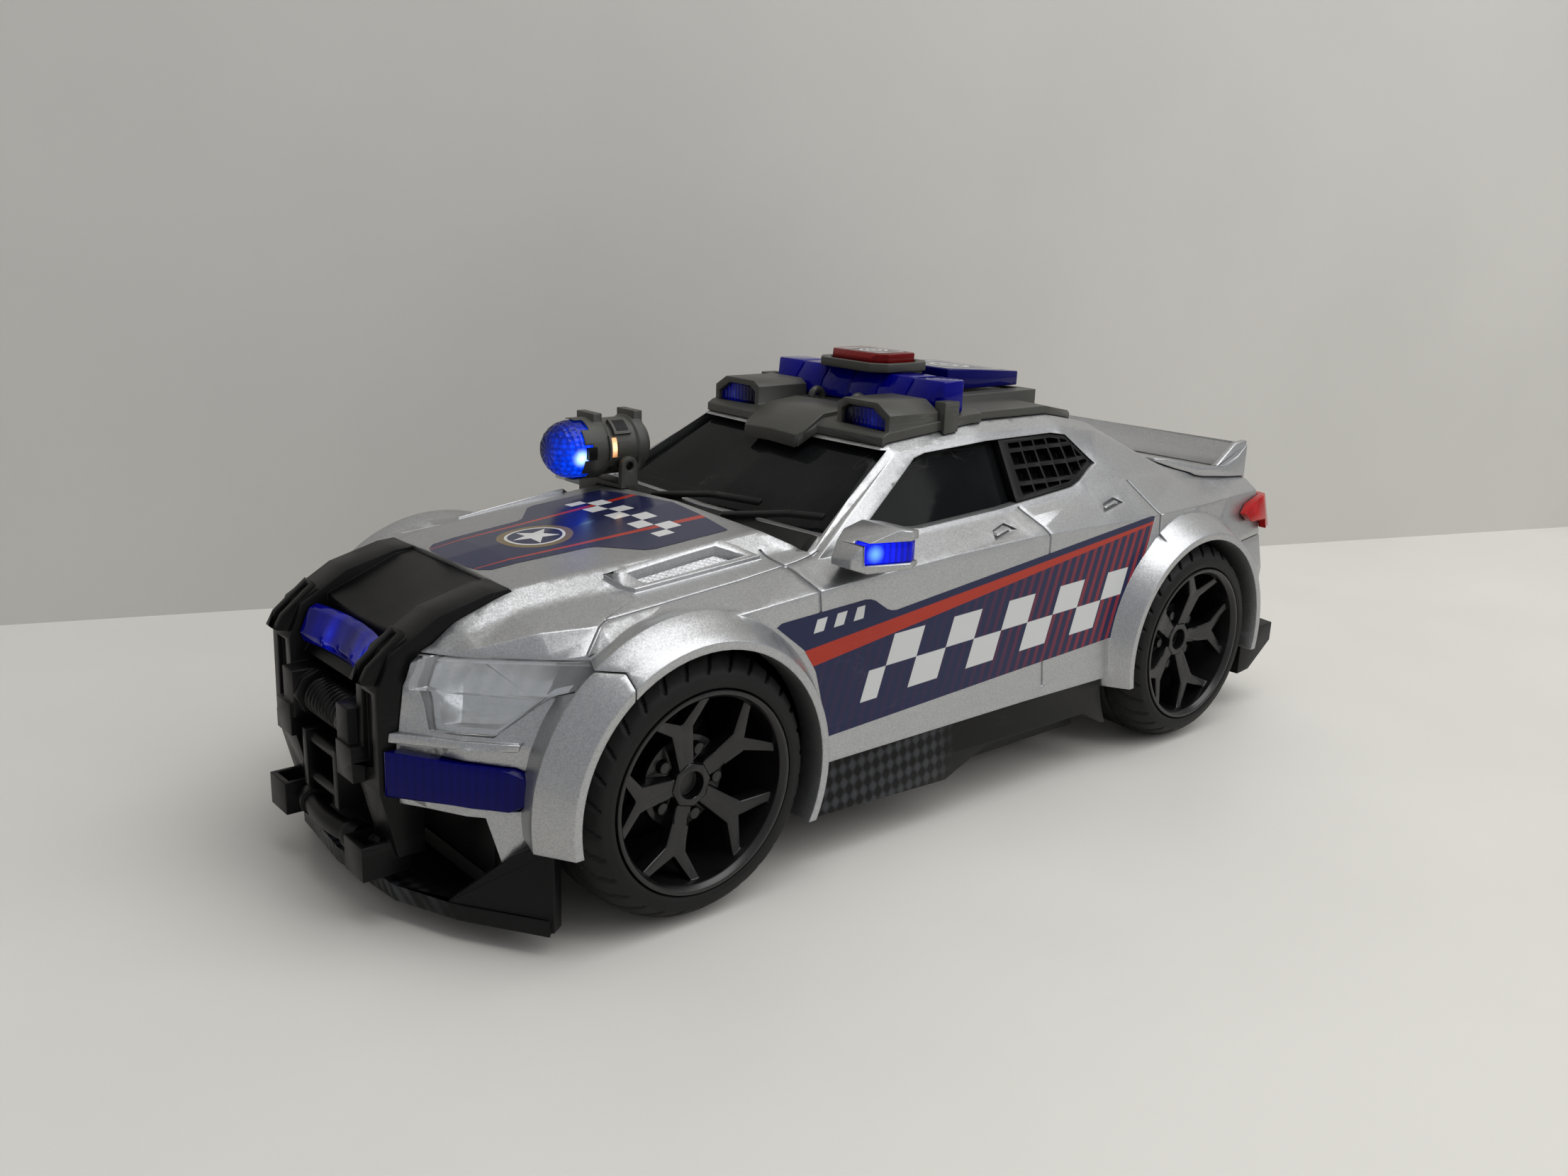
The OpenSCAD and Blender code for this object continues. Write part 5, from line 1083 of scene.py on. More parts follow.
@dataclass(frozen=True)
class HoodFilm(Film):
    """Printed film of the hood: navy ground, two red stripes, white checks and a star roundel.

    Edges are pairs of a point and the direction into the print, folded over onto the left half.
    """

    navy: Colour = (0.012, 0.015, 0.05)
    red: Colour = (0.34, 0.028, 0.015)
    white: Colour = (0.55, 0.55, 0.54)
    gold: Colour = (0.15, 0.105, 0.045)
    centre: Point = (0.0, -0.1035, 0.0)
    radius: float = 0.0098
    stripe: tuple[Edge, ...] = (((0.0116, -0.123, 0), (1, -0.055, 0)), ((0.0121, -0.123, 0), (-1, 0.088, 0)))
    row: Edge = ((0, -0.0755, 0), (0, 1, 0))
    band: tuple[Edge, ...] = (
        ((0, -0.0805, 0), (0, 1, 0)), ((0, -0.0705, 0), (0, -1, 0)), ((0.0226, 0, 0), (-1, 0, 0)),
    )

    def printed(self, w: SurfaceWiring) -> Socket:
        """Layers stripes, a band of checks and the roundel over the ground."""
        x, y, _ = w.split(w.place)
        fold = w.add("ShaderNodeCombineXYZ", {0: w.math("ABSOLUTE", x), 1: y}).outputs[0]
        stripe, row, band = (
            w.times(*(w.mask("half_plane", Vector=fold, Point=point, Direction=way) for point, way in edges))
            for edges in (self.stripe, (self.row,), self.band)
        )
        blocks = w.mask("stripes", Direction=(1, 0, 0), Pitch=0.0108, Share=0.5, Offset=0.1)
        checks = w.times(w.math("ABSOLUTE", w.math("SUBTRACT", blocks, row)), band)
        off = w.vector("SUBTRACT", w.vector("MULTIPLY", w.place, IN_PLAN), self.centre)
        far = w.measure("LENGTH", off)
        layers = [(stripe, self.red), (checks, self.white)]
        for reach, paint in ((1.0, self.gold), (0.8, self.white), (0.72, self.navy)):
            layers.append((w.math("LESS_THAN", far, self.radius * reach), paint))
        colour: Any = self.navy
        for mask, paint in (*layers, (self.star(w, off, far), self.white)):
            colour = w.blend(mask, colour, paint)
        return colour

    def star(self, w: SurfaceWiring, off: Socket, far: Socket) -> Socket:
        """Mask of a five-pointed star.

        The angle is folded into half a point, and the star lies below the line from its tip to the notch
        beside it.
        """
        x, y, _ = w.split(off)
        fifth = FULL_TURN / 5
        angle = w.math("DIVIDE", w.math("ARCTAN2", x, w.times(y, -1.0)), fifth)
        turn = w.math("SUBTRACT", w.math("FRACT", w.math("ADD", angle, 0.5)), 0.5)
        half = w.times(w.math("ABSOLUTE", turn), fifth)
        along, aside = (w.times(far, w.math(kind, half)) for kind in ("COSINE", "SINE"))
        tip = 0.66 * self.radius
        notch = 0.40 * tip
        nx, ny = notch * math.cos(fifth / 2), notch * math.sin(fifth / 2)
        return w.math("LESS_THAN", w.math("ADD", w.times(along, ny), w.times(aside, tip - nx)), tip * ny)


@dataclass(frozen=True)
class ButtonPrint(Film):
    """Printed top of a button: pale frame with rings like spreading sound on a plain field."""

    centre: Point = (0.0, 0.0475, 0.0)
    half: tuple[float, float] = (0.0145, 0.0140)
    field_colour: Colour = (0.05, 0.052, 0.075)
    pale: Colour = (0.62, 0.63, 0.64)
    ring: float = 0.0034

    def printed(self, w: SurfaceWiring) -> Socket:
        """Frame by the distance to the edge, rings by the distance from the middle."""
        off = w.vector("SUBTRACT", w.vector("MULTIPLY", w.place, IN_PLAN), self.centre)
        x, y, _ = w.split(w.vector("ABSOLUTE", w.vector("MULTIPLY", off, (1 / self.half[0], 1 / self.half[1], 0))))
        edge, far = w.math("MAXIMUM", x, y), w.measure("LENGTH", off)
        frame = w.times(w.math("GREATER_THAN", edge, 0.84), w.math("LESS_THAN", edge, 0.93))
        waves = w.math("LESS_THAN", w.math("FRACT", w.math("DIVIDE", far, self.ring)), 0.42)
        rings = w.times(waves, w.math("LESS_THAN", far, 3 * self.ring))
        return w.blend(w.math("MAXIMUM", frame, rings), self.field_colour, self.pale)


SILVER = FlakePaint("silver_flake_paint", "silver_body")
LAMP_SILVER = FlakePaint(
    "lamp_tray_silver", "silver_body", dark=(0.6, 0.61, 0.62), light=(0.72, 0.73, 0.74), rough=0.22,
)
BLACK = Moulded("black_satin_plastic", "black_plastic")
BLACK_GLOSS = Moulded("black_trim_plastic", "black_plastic", rough=0.3, depth=0.18)
RIM = Moulded(
    "rim_black_plastic", "rim_black", colour=(0.003, 0.003, 0.0033), worn=(0.012, 0.012, 0.0115), rough=0.3,
    depth=0.12, sheen=0.5,
)
CONSOLE = Moulded(
    "console_grey_plastic", "console_grey", colour=(0.040, 0.040, 0.034), worn=(0.07, 0.069, 0.06), rough=0.42,
    sheen=0.4,
)
GLASS = SmokedGlass("smoked_glazing", "smoked_glass")
RUBBER = Rubber("ribbed_tyre_rubber", "tyre_rubber")
STEEL = TurnedSteel("turned_steel", "steel")
BOARD = CircuitBoard("circuit_board", "board")
CELL = CellJacket("cell_jacket", "cell_jacket")
CONE = Moulded("speaker_paper", "speaker_black", colour=(0.016, 0.016, 0.016), rough=0.7, depth=0.72)
BLUE = Lens("blue_bumper_lens", "blue_lens", colour=(0.0004, 0.0004, 0.09), clear=0.08, rough=0.04, relief=0.06)
BLUE_BAR = Lens("blue_bar_lens", "blue_lens", colour=(0.0006, 0.0006, 0.17), clear=0.12, rough=0.04, relief=0.06)
BLUE_DOME = Lens(
    "blue_dome_lens", "blue_lens", colour=(0.001, 0.002, 0.05), pitch=0.0, relief=0.2, clear=0.3,
    lamps=((-0.0280, -0.0712, 0.0935),), core=0.0032, halo=0.0140, hot=(0.6, 1.0, 1.0), glow=(0.0, 0.05, 0.95),
    power=2.4,
)
BLUE_MIRROR = {
    side: Lens(
        f"blue_mirror_lens_{side.name.lower()}", "blue_lens", colour=(0.0005, 0.001, 0.2), prism=(0.0, 1.0, 0.0),
        clear=0.2, relief=0.05, lamps=((side.value * 0.0712, -0.0496, 0.0832),), core=0.0032, halo=0.0150,
        hot=(0.3, 0.8, 1.0), glow=(0.0, 0.01, 0.9), power=2.0,
    )
    for side in Side
}
BLUE_STRIP = Lens(
    "blue_strip_lens", "blue_lens", colour=(0.001, 0.001, 0.16), pitch=0.0074, clear=0.25,
    lamps=((0.014, -0.158, 0.0625), (-0.006, -0.156, 0.0615)), core=0.0016, halo=0.009, hot=(0.03, 0.12, 1.0),
    power=0.35,
)
BLUE_POD = {
    side: Lens(
        f"blue_pod_lens_{side.name.lower()}", "blue_lens", clear=0.25, lamps=((side.value * 0.031, -0.0138, 0.1085),),
        core=0.0015, halo=0.009, hot=(0.03, 0.1, 0.9), power=0.14,
    )
    for side in Side
}
RED = Lens(
    "red_button_lens", "red_lens", colour=(0.12, 0.0012, 0.0015), clear=0.1, rough=0.04, pitch=0.0024, relief=0.06,
)
RED_TAIL = Lens(
    "red_tail_lens", "red_lens", colour=(0.36, 0.003, 0.004), clear=0.12, rough=0.04, pitch=0.0024, relief=0.1,
)
CLEAR = Lens(
    "clear_lamp_lens", "clear_lens", colour=(0.85, 0.87, 0.88), clear=0.86, ior=1.2, shine=0.5, rough=0.03,
    pitch=0.0028, relief=0.04,
)
SKIRT_PRINT = CarbonPrint("skirt_diamond_print", "black_plastic", start=(0.0, -0.012, 0.0))
SPLITTER_PRINT = CarbonPrint("splitter_diamond_print", "black_plastic", start=(0.0, -0.1535, 0.0))
SIDE_FILM = SideFilm("side_film", "silver_body")
HOOD_FILM = HoodFilm("hood_film", "silver_body")
BUTTON_PRINT = ButtonPrint("button_print", "console_grey")
RED_PRINT = ButtonPrint(
    "red_button_print", "red_lens", centre=(0.0, 0.01546, 0.0), half=(0.0084, 0.0059),
    field_colour=(0.03, 0.003, 0.0035), ring=0.0018,
)
SLOT_LIGHT = Lens(
    "slot_light", "red_lens", colour=(0.6, 0.3, 0.12), clear=0.1, pitch=0.0, relief=0.1,
    lamps=((-0.0266, -0.0606, 0.0962),), core=0.0034, halo=0.006, hot=(1.0, 0.72, 0.45), glow=(0.8, 0.32, 0.1),
    power=1.6,
)


# Sub-assemblies


PLAIN = Softening()
ON_FORM = Softening(follows=True)
FINE = Softening(edge=0.12 * MM)
LENS_EDGE = Softening(edge=0.3 * MM)
FINE_EDGE = Softening(edge=0.08 * MM, steps=1)


def box(node: str) -> tuple[np.ndarray, np.ndarray]:
    """Low and high corner of a frame node."""
    low, high = (np.array(corner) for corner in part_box(node))
    return low, high


@dataclass
class Assembly:
    """Base of the sub-assemblies: dresses frame nodes and new pieces and keeps a list of what it made."""

    frame: dict[str, Any]
    form: BodyForm
    pieces: list[bpy.types.Object] = field(default_factory=list)

    def dress(self, finish: Finish, soft: Softening, *nodes: str) -> None:
        """Puts a softened, finished copy in the place of each of some frame nodes, riding on the node's body."""
        for node in nodes:
            source = self.frame["nodes"][node]
            made = softened_copy(source, f"{node}_dressed", soft, self.form)
            self.finish(made, finish, source["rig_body"], node)

    def finish(self, piece: bpy.types.Object, finish: Finish, body: str, *nodes: str) -> bpy.types.Object:
        """Gives a piece its material, body and the nodes that it stands for."""
        piece.data.materials.clear()
        piece.data.materials.append(finish.material())
        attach(piece, body)
        if nodes:
            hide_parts(*nodes)
        self.pieces.append(piece)
        return piece


@dataclass
class PaintedBody(Assembly):
    """Painted shell with bumpers, spoiler, mirrors, glazing and trim."""

    def build(self) -> None:
        """Dresses the body's own mouldings."""
        self.dress(SILVER, ON_FORM, "body_shell", "front_bumper_left", "front_bumper_right", "rear_bumper")
        self.dress(SILVER, Softening(edge=0.4 * MM), "spoiler", "mirror_left", "mirror_right")
        self.dress(GLASS, Softening(edge=0.1 * MM, follows=True, reach=4.5 * MM), "glazing")
        self.dress(BLACK, FINE, "window_grille_left", "window_grille_right", "cowl_panel")
        for side in Side:
            for node, finish, soft in (
                ("headlamp_base", LAMP_SILVER, FINE), ("headlamp_lens", CLEAR, FINE_EDGE),
                ("bumper_light", BLUE, LENS_EDGE), ("mirror_lens", BLUE_MIRROR[side], FINE),
                ("tail_light", RED_TAIL, LENS_EDGE), ("side_skirt", SKIRT_PRINT, PLAIN),
            ):
                self.dress(finish, soft, f"{node}_{side.label}")
        self.dress(SPLITTER_PRINT, PLAIN, "front_splitter")
        self.dress(BLACK, PLAIN, "rear_diffuser")


@dataclass
class Films(Assembly):
    """Printed films on the doors, the hood and both buttons, and the mesh in the hood's vents.

    Outlines are places in millimetres, (y, z) on the doors and (x, y) on the hood. A grid is the number of
    points along its rows and along its columns.
    """

    lift: float = 0.05 * MM
    bottom: Outline = ((-59.4, 35.9), (66.0, 41.3))
    top: Outline = (
        (-75.6, 67.4), (-74.0, 68.3), (-45.5, 69.9), (-43.2, 69.4), (-37.6, 65.7), (-35.2, 65.3), (76.5, 77.2),
        (78.6, 76.8),
    )
    left: Outline = ((-59.4, 35.9), (-60.2, 45.0), (-62.6, 54.0), (-66.6, 60.2), (-75.6, 67.4))
    right: Outline = ((66.0, 41.3), (78.6, 76.8))
    door_grid: tuple[int, int] = (90, 30)
    hood_half: Outline = (
        (0.0, -128.4), (6.0, -128.2), (12.5, -127.0), (15.2, -124.4), (17.5, -98.5), (18.5, -96.5), (28.5, -89.0),
        (29.6, -86.5), (30.2, -63.9), (16.0, -61.2), (0.0, -59.8),
    )
    hood_grid: tuple[int, int] = (41, 120)
    hood_lift: float = 0.08 * MM
    hood_tip: float = 0.2 * MM
    vent: Outline = ((38.0, -100.4), (42.1, -98.0), (42.8, -69.6), (38.6, -75.2))
    vent_grid: tuple[int, int] = (40, 220)
    vent_sink: float = 0.8 * MM
    vent_pitch: float = 1.25 * MM
    vent_lean: float = 0.62
    vent_wire: tuple[float, float] = (0.5, 0.3)
    vent_rim: tuple[float, float] = (8.0, 40.0)
    vent_relief: float = 0.16 * MM
    button_grid: tuple[int, int] = (24, 24)

    def build(self) -> None:
        """Lays the films on the surfaces that carry them."""
        for side in Side:
            self.door_film(side)
            self.vent_mesh(side)
        self.hood_film()
        self.button_film("siren_button", "siren_key", BUTTON_PRINT, 2.4 * MM, 2.0 * MM)
        self.button_film("red_button", "red_key", RED_PRINT, 3.6 * MM, 0.0)

    def lay(self, name: str, places: Sequence[np.ndarray], finish: Finish, body: str = "car", out: Point = UP) -> None:
        """Makes an open sheet.

        Args:
            name: Name of the piece.
            places: Grids of x, y and z.
            finish: Its finish.
            body: Body that it rides on.
            out: Direction that its faces look to.
        """
        points = np.stack(places, axis=2)
        sheet = new_piece(name, points, grid_faces(*points.shape[:2]))
        turn_towards(sheet, out)
        self.finish(sheet, finish, body)

    def door_film(self, side: Side) -> None:
        """Film on one side: a patch between its four edges in (y, z), laid on the side of the form."""
        wide, high = self.door_grid
        grid = patch(
            eased_line(self.bottom, wide), eased_line(self.top, wide), eased_line(self.left, high),
            eased_line(self.right, high),
        ) * MM
        y, z = grid[..., 0], grid[..., 1]
        x = side.value * (self.form.side_x(y, z) + self.lift)
        self.lay(f"door_film_{side.label}", (x, y, z), SIDE_FILM, out=(side.value, 0.0, 0.0))

    def hood_film(self) -> None:
        """Film on the hood: each row runs across between the outline's two sides, laid on the top of the form."""
        half = np.array(self.hood_half) * MM
        wide, long = self.hood_grid
        rows = np.linspace(half[0, 1], half[-1, 1], long)
        reach = np.maximum(np.interp(rows, half[:, 1], half[:, 0]), self.hood_tip)
        x = reach[:, None] * np.linspace(-1, 1, wide)
        y = np.repeat(rows[:, None], wide, axis=1)
        self.lay("hood_film_sheet", (x, y, self.form.top_z(x, y) + self.hood_lift), HOOD_FILM)

    def vent_mesh(self, side: Side) -> None:
        """Mesh in one hood vent: a patch between its four corners, laid on the sunk field of the form.

        Two sets of slanted wires cross over it. A wire's height is the share by which the cosine of the way
        across its set stays above the wire's start, so diamonds lie sunk between the wires, and it fades out
        towards the rim.
        """
        u, v = unit_grid(*self.vent_grid)
        plan = between(np.array(self.vent) * MM, u, v)
        x, y = plan[..., 0], plan[..., 1]
        wires = [np.cos(FULL_TURN * (x + lean * y) / self.vent_pitch) for lean in (self.vent_lean, -self.vent_lean)]
        start, growth = self.vent_wire
        relief = np.clip((np.maximum(*wires) - start) / growth, 0, 1)
        rim = reduce(np.minimum, [np.minimum(s, 1 - s) * steep for s, steep in zip((u, v), self.vent_rim)])
        z = self.form.top_z(x, y) - self.vent_sink + self.lift + self.vent_relief * relief * np.clip(rim, 0, 1)
        self.lay(f"vent_mesh_{side.label}", (side.value * x, y, z), SILVER)

    def button_film(self, node: str, body: str, finish: Finish, inset: float, drop: float) -> None:
        """Film on the top of a button.

        Args:
            node: Node of the button.
            body: Body that it rides on.
            finish: Print of the film.
            inset: Way in from the button's edges.
            drop: Fall of its top from front to back.
        """
        low, high = box(node)
        x, y = (
            low[k] + inset + (high[k] - low[k] - 2 * inset) * share
            for k, share in enumerate(unit_grid(*self.button_grid))
        )
        z = high[2] - drop * (y - low[1]) / (high[1] - low[1]) + self.lift
        self.lay(f"{node}_print", (x, y, z), finish, body)


@dataclass
class FrontBar(Assembly):
    """Push bar with its lit strip and wound winch."""

    rope: float = 1.4 * MM
    turns: int = 10
    turn_steps: int = 40
    sides: int = 12
    strands: int = 3
    strand_depth: float = 0.06
    twist: float = 1.7

    def build(self) -> None:
        """Dresses the bar and winds the rope."""
        self.dress(BLACK, PLAIN, "push_bar")
        self.dress(BLUE_STRIP, LENS_EDGE, "push_bar_light")
        self.dress(BLACK, FINE, "winch_drum")
        self.wind_rope()

    def wind_rope(self) -> None:
        """Rope on the drum: a helix about X, with strands twisting round its section."""
        low, high = box("winch_rope")
        middle = (low + high) / 2
        coil = (high[2] - low[2]) / 2 - self.rope / 2
        span = high[0] - low[0] - self.rope
        t = np.linspace(0, 1, self.turns * self.turn_steps + 1)
        angle = FULL_TURN * self.turns * t
        path = np.stack([
            middle[0] - span / 2 + span * t, middle[1] + coil * np.sin(angle), middle[2] + coil * np.cos(angle)
        ], axis=1)
        wave = np.cos(self.strands * full_circle(self.sides))
        ring = self.rope / 2 * (1 - self.strand_depth + self.strand_depth * wave)
        points, faces = swept_tube(path, np.tile(ring, (len(t), 1)), spin=angle * self.twist)
        self.finish(new_piece("winch_rope_strands", points, faces), BLACK, "car", "winch_rope")


@dataclass
class RoofGear(Assembly):
    """Roof console with its lenses, buttons, springs and board."""

    travel: float = 1.5 * MM
    wire: float = 0.5 * MM
    turns: int = 3
    turn_steps: int = 48
    sides: int = 10

    def build(self) -> None:
        """Dresses the console and winds the button springs."""
        self.dress(CONSOLE, PLAIN, "roof_console")
        self.dress(BLUE_BAR, LENS_EDGE, "lightbar_lens")
        for side in Side:
            self.dress(BLUE_POD[side], FINE, f"pod_lens_{side.label}")
        self.dress(RED, LENS_EDGE, "red_button")
        self.dress(BLUE, LENS_EDGE, "siren_button")
        self.dress(BOARD, FINE, "roof_board")
        for button in ("red_button", "siren_button"):
            self.spring(f"{button}_spring", f"{button}_press")

    def spring(self, node: str, joint: str) -> None:
        """Coil spring: a rising circle swept with a round wire.

        Args:
            node: Node that the spring stands for.
            joint: Joint of its button; not used.
        """
        low, high = box(node)
        middle, coil = (low + high) / 2, (high[0] - low[0] - self.wire) / 2
        tall = high[2] - low[2]
        t = np.linspace(0, 1, self.turns * self.turn_steps + 1)
        angle = FULL_TURN * self.turns * t
        path = np.stack([
            middle[0] + coil * np.cos(angle), middle[1] + coil * np.sin(angle),
            low[2] + self.wire / 2 + (tall - self.wire) * t,
        ], axis=1)
        points, faces = swept_tube(path, np.full((len(t), self.sides), self.wire / 2))
        made = self.finish(new_piece(f"{node}_coil", points, faces), STEEL, "car", node)
        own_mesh(made)


@dataclass
class SearchLamp(Assembly):
    """Search lamp that tilts on its bracket."""

    radius: float = 9.0 * MM
    sunk: float = 0.9 * MM
    dome_cut: float = 1.0 * MM
    dome_steps: int = 60
    dome_sides: int = 160
    dome_tip: float = 0.02 * MM
    dimple: float = 0.32 * MM
    dimple_radius: float = 0.62 * MM
    dimple_rings: int = 6
    dimple_pitch: float = 13.0
    plate_grid: tuple[int, int] = (9, 5)

    def build(self) -> None:
        """Dresses bracket, pin, housing and dome, and adds the lit slot with its tab and the side window."""
        self.dress(CONSOLE, PLAIN, "spot_bracket")
        self.dress(BLACK, FINE, "spot_pin")
        self.dress(CONSOLE, PLAIN, "spot_housing")
        self.dome()
        for name, finish, along, turn, proud in (
            ("lamp_slot_light", SLOT_LIGHT, (8.6, 10.6), (-12.0, 24.0), 0.25),
            ("lamp_slot_frame", CONSOLE, (8.0, 8.7), (-16.0, 28.0), 0.6),
            ("lamp_tab", BLACK, (0.6, 3.4), (-12.0, 10.0), 0.8),
            ("lamp_window_frame", CONSOLE, (10.4, 16.4), (30.0, 66.0), 0.35),
            ("lamp_window_dark", BLACK, (11.4, 15.4), (36.0, 60.0), 0.45),
        ):
            self.side_plate(name, finish, along, turn, proud * MM)

    def aims(self, polar: Any, turn: np.ndarray) -> np.ndarray:
        """Directions at polar angles from straight ahead and turning angles round it."""
        return np.stack([
            np.sin(polar) * np.cos(turn), -np.cos(polar) * np.ones_like(turn), np.sin(polar) * np.sin(turn)
        ], axis=-1)

    def dome(self) -> None:
        """Dimpled dome: half a ball looking forwards, with a short collar behind it.

        A place lies at the ball's radius along its polar and turning angles, less a bell-shaped dimple at each
        point of several rings on the ball. A ring holds six times its number less two dimples, and every
        other ring is turned by half a step.
        """
        low, high = box("spot_lens")
        ball = (high[0] - low[0]) / 2
        centre = np.array([(low[0] + high[0]) / 2, low[1] + ball - self.dome_cut, (low[2] + high[2]) / 2])
        cap = math.acos(1 - self.dome_cut / ball)
        turn = full_circle(self.dome_sides)[None, :]
        ways = self.aims(np.linspace(cap, math.pi / 2, self.dome_steps)[:, None], turn)
        radius = np.full(ways.shape[:2], ball)
        for ring in range(1, self.dimple_rings + 1):
            count = 6 * ring - 2
            spots = FULL_TURN * (np.arange(count) + 0.5 * (ring % 2)) / count
            near = (ways @ self.aims(math.radians(self.dimple_pitch * ring), spots).T).max(axis=2)
            off = np.arccos(np.clip(near, -1, 1)) * ball
            radius -= self.dimple * np.exp(-(off / self.dimple_radius) ** 2)
        skin = centre + ways * radius[..., None]
        collar = skin[-1:].copy()
        collar[..., 1] = high[1]
        tip = centre + self.dome_tip * self.aims(math.pi / 2, turn)
        tip[..., 1] = low[1]
        points = np.concatenate([tip, skin, collar])
        made = new_piece("spot_lens_dimpled", points, capped_faces(*points.shape[:2]))
        self.finish(made, BLUE_DOME, "search_lamp", "spot_lens")

    def side_plate(
        self, name: str, finish: Finish, along: tuple[float, float], turn: tuple[float, float], proud: float
    ) -> None:
        """Closed plate bent round the lamp's barrel on its left side.

        A place on it is the axis plus the radius times the cosine and sine of its angle above the left, at a
        way back from the lamp's front. The grid runs over the outer skin and back over the inner one.

        Args:
            name: Name of the piece.
            finish: Its finish.
            along: From and to, in millimetres behind the front of the housing.
            turn: From and to, in degrees above the left.
            proud: How far its skin stands out from the barrel.
        """
        low, high = box("spot_housing")
        angle = np.radians(np.linspace(*turn, self.plate_grid[0]))
        ends = low[1] + np.linspace(*along, self.plate_grid[1]) * MM
        skins = []
        for r, order in ((self.radius + proud, 1), (self.radius - self.sunk, -1)):
            a, y = np.meshgrid(angle, ends[::order])
            x, z = (low[0] + high[0]) / 2 + r * np.cos(a), low[2] + self.radius + r * np.sin(a)
            skins.append(np.stack([x, y, z], axis=2))
        points = np.concatenate(skins)
        rows, cols = points.shape[:2]
        first = np.arange(rows) * cols
        faces = grid_faces(rows, cols, wrap_rows=True).tolist() + [first[::-1].tolist(), (first + cols - 1).tolist()]
        self.finish(new_piece(name, points, faces), finish, "search_lamp")


@dataclass
class Wheels(Assembly):
    """Axles, rims and treaded tyres.

    Attributes:
        axle_y: Way of the axles from the middle of the car.
        axle_z: Height of the axles.
        inner_x: Way of a tyre's inner face from the middle of the car.
        profile: Half section of a tyre as (radius, way out) in millimetres.
        ease: Share cut off an edge of the profile as its corners are eased.
        grid: Points round the tyre and round its section.
        tread: Radius where the tread begins, and the way over which it grows.
        blocks: Slanted cuts round the outer shoulder.
        slant: Turn of a cut over the way out, in radians a metre, from a way out where it is nothing.
        shoulder: Way out where the cuts begin, and the way over which they grow.
        cut: Share of a block where its cut begins, the share over which it deepens, and its depth.
        rings: Ways out of the grooves round the tread.
        ring: Half width and depth of a groove.
        ring_fill: How full a groove is cut before its depth is held.
    """

    axle_y: float = 100 * MM
    axle_z: float = 33 * MM
    inner_x: float = 44 * MM
    profile: Outline = (
        (25.0, 1.0), (29.6, 0.0), (33.0, 4.0), (33.0, 18.0), (31.87, 22.0), (29.6, 25.0), (29.0, 25.4), (28.6, 25.65),
        (27.6, 25.7), (27.2, 25.95), (26.0, 26.0), (25.0, 25.5),
    )
    ease: float = 0.2
    grid: tuple[int, int] = (600, 96)
    tread: tuple[float, float] = (28.8 * MM, 1.2 * MM)
    blocks: int = 30
    slant: tuple[float, float] = (26.0, 17.0 * MM)
    shoulder: tuple[float, float] = (15.5 * MM, 1.2 * MM)
    cut: tuple[float, float, float] = (0.40, 0.04, 0.9 * MM)
    rings: tuple[float, float] = (13.6 * MM, 7.6 * MM)
    ring: tuple[float, float] = (0.8 * MM, 0.8 * MM)
    ring_fill: float = 1.2

    def build(self) -> None:
        """Dresses rims and axles and turns the tyres."""
        for end in End:
            self.dress(STEEL, FINE, f"{end.label}_axle")
            for side in Side:
                self.dress(RIM, LENS_EDGE, f"rim_{end.label}_{side.label}")
                self.tyre(end, side)

    def tyre(self, end: End, side: Side) -> None:
        """Tyre: its section turned about the axle, with grooves cut in by their depth.

        The section is the moulded profile with eased corners. Slanted cuts cross the outer shoulder and two
        grooves run round the tread; their depth is taken off the radius.
        """
        line = rounded(np.array(self.profile) * MM, 2, self.ease)
        around, points_of_section = self.grid
        radius, across = eased_line(np.concatenate([line, line[:1]]), points_of_section + 1)[:-1].T
        angle = full_circle(around)[:, None]
        tread = np.clip((radius - self.tread[0]) / self.tread[1], 0, 1)
        slant, level = self.slant
        part = np.abs(((angle + (across - level) * slant) * self.blocks / FULL_TURN) % 1.0 - 0.5)
        shoulder = np.clip((across - self.shoulder[0]) / self.shoulder[1], 0, 1)
        start, growth, deep = self.cut
        cuts = np.clip((part - start) / growth, 0, 1) * shoulder * deep
        half, groove = self.ring
        near = np.min([np.abs(across - at) for at in self.rings], axis=0)
        rings = np.clip(self.ring_fill - near / half, 0, 1) * groove
        depth = radius - tread * np.maximum(cuts, rings)
        points = np.stack([
            side.value * (self.inner_x + across * np.ones_like(depth)),
            end.value * self.axle_y + depth * np.sin(angle), self.axle_z + depth * np.cos(angle),
        ], axis=2)
        name = f"tyre_{end.label}_{side.label}"
        made = new_piece(f"{name}_treaded", points, grid_faces(*self.grid, True, True))
        self.finish(made, RUBBER, f"{end.label}_wheels", name)


@dataclass
class Underside(Assembly):
    """Chassis with batteries, speaker, boards and switch."""

    def build(self) -> None:
        """Dresses what lies under and inside the car."""
        self.dress(BLACK, Softening(edge=0.2 * MM), "chassis_pan")
        self.dress(BLACK_GLOSS, PLAIN, "battery_cover", "switch_knob")
        self.dress(CELL, LENS_EDGE, "batteries")
        self.dress(STEEL, Softening(edge=0.06 * MM), "battery_contacts")
        self.dress(CONE, PLAIN, "speaker")
        self.dress(BOARD, FINE, "main_board")
        self.dress(STEEL, FINE, "body_screws")


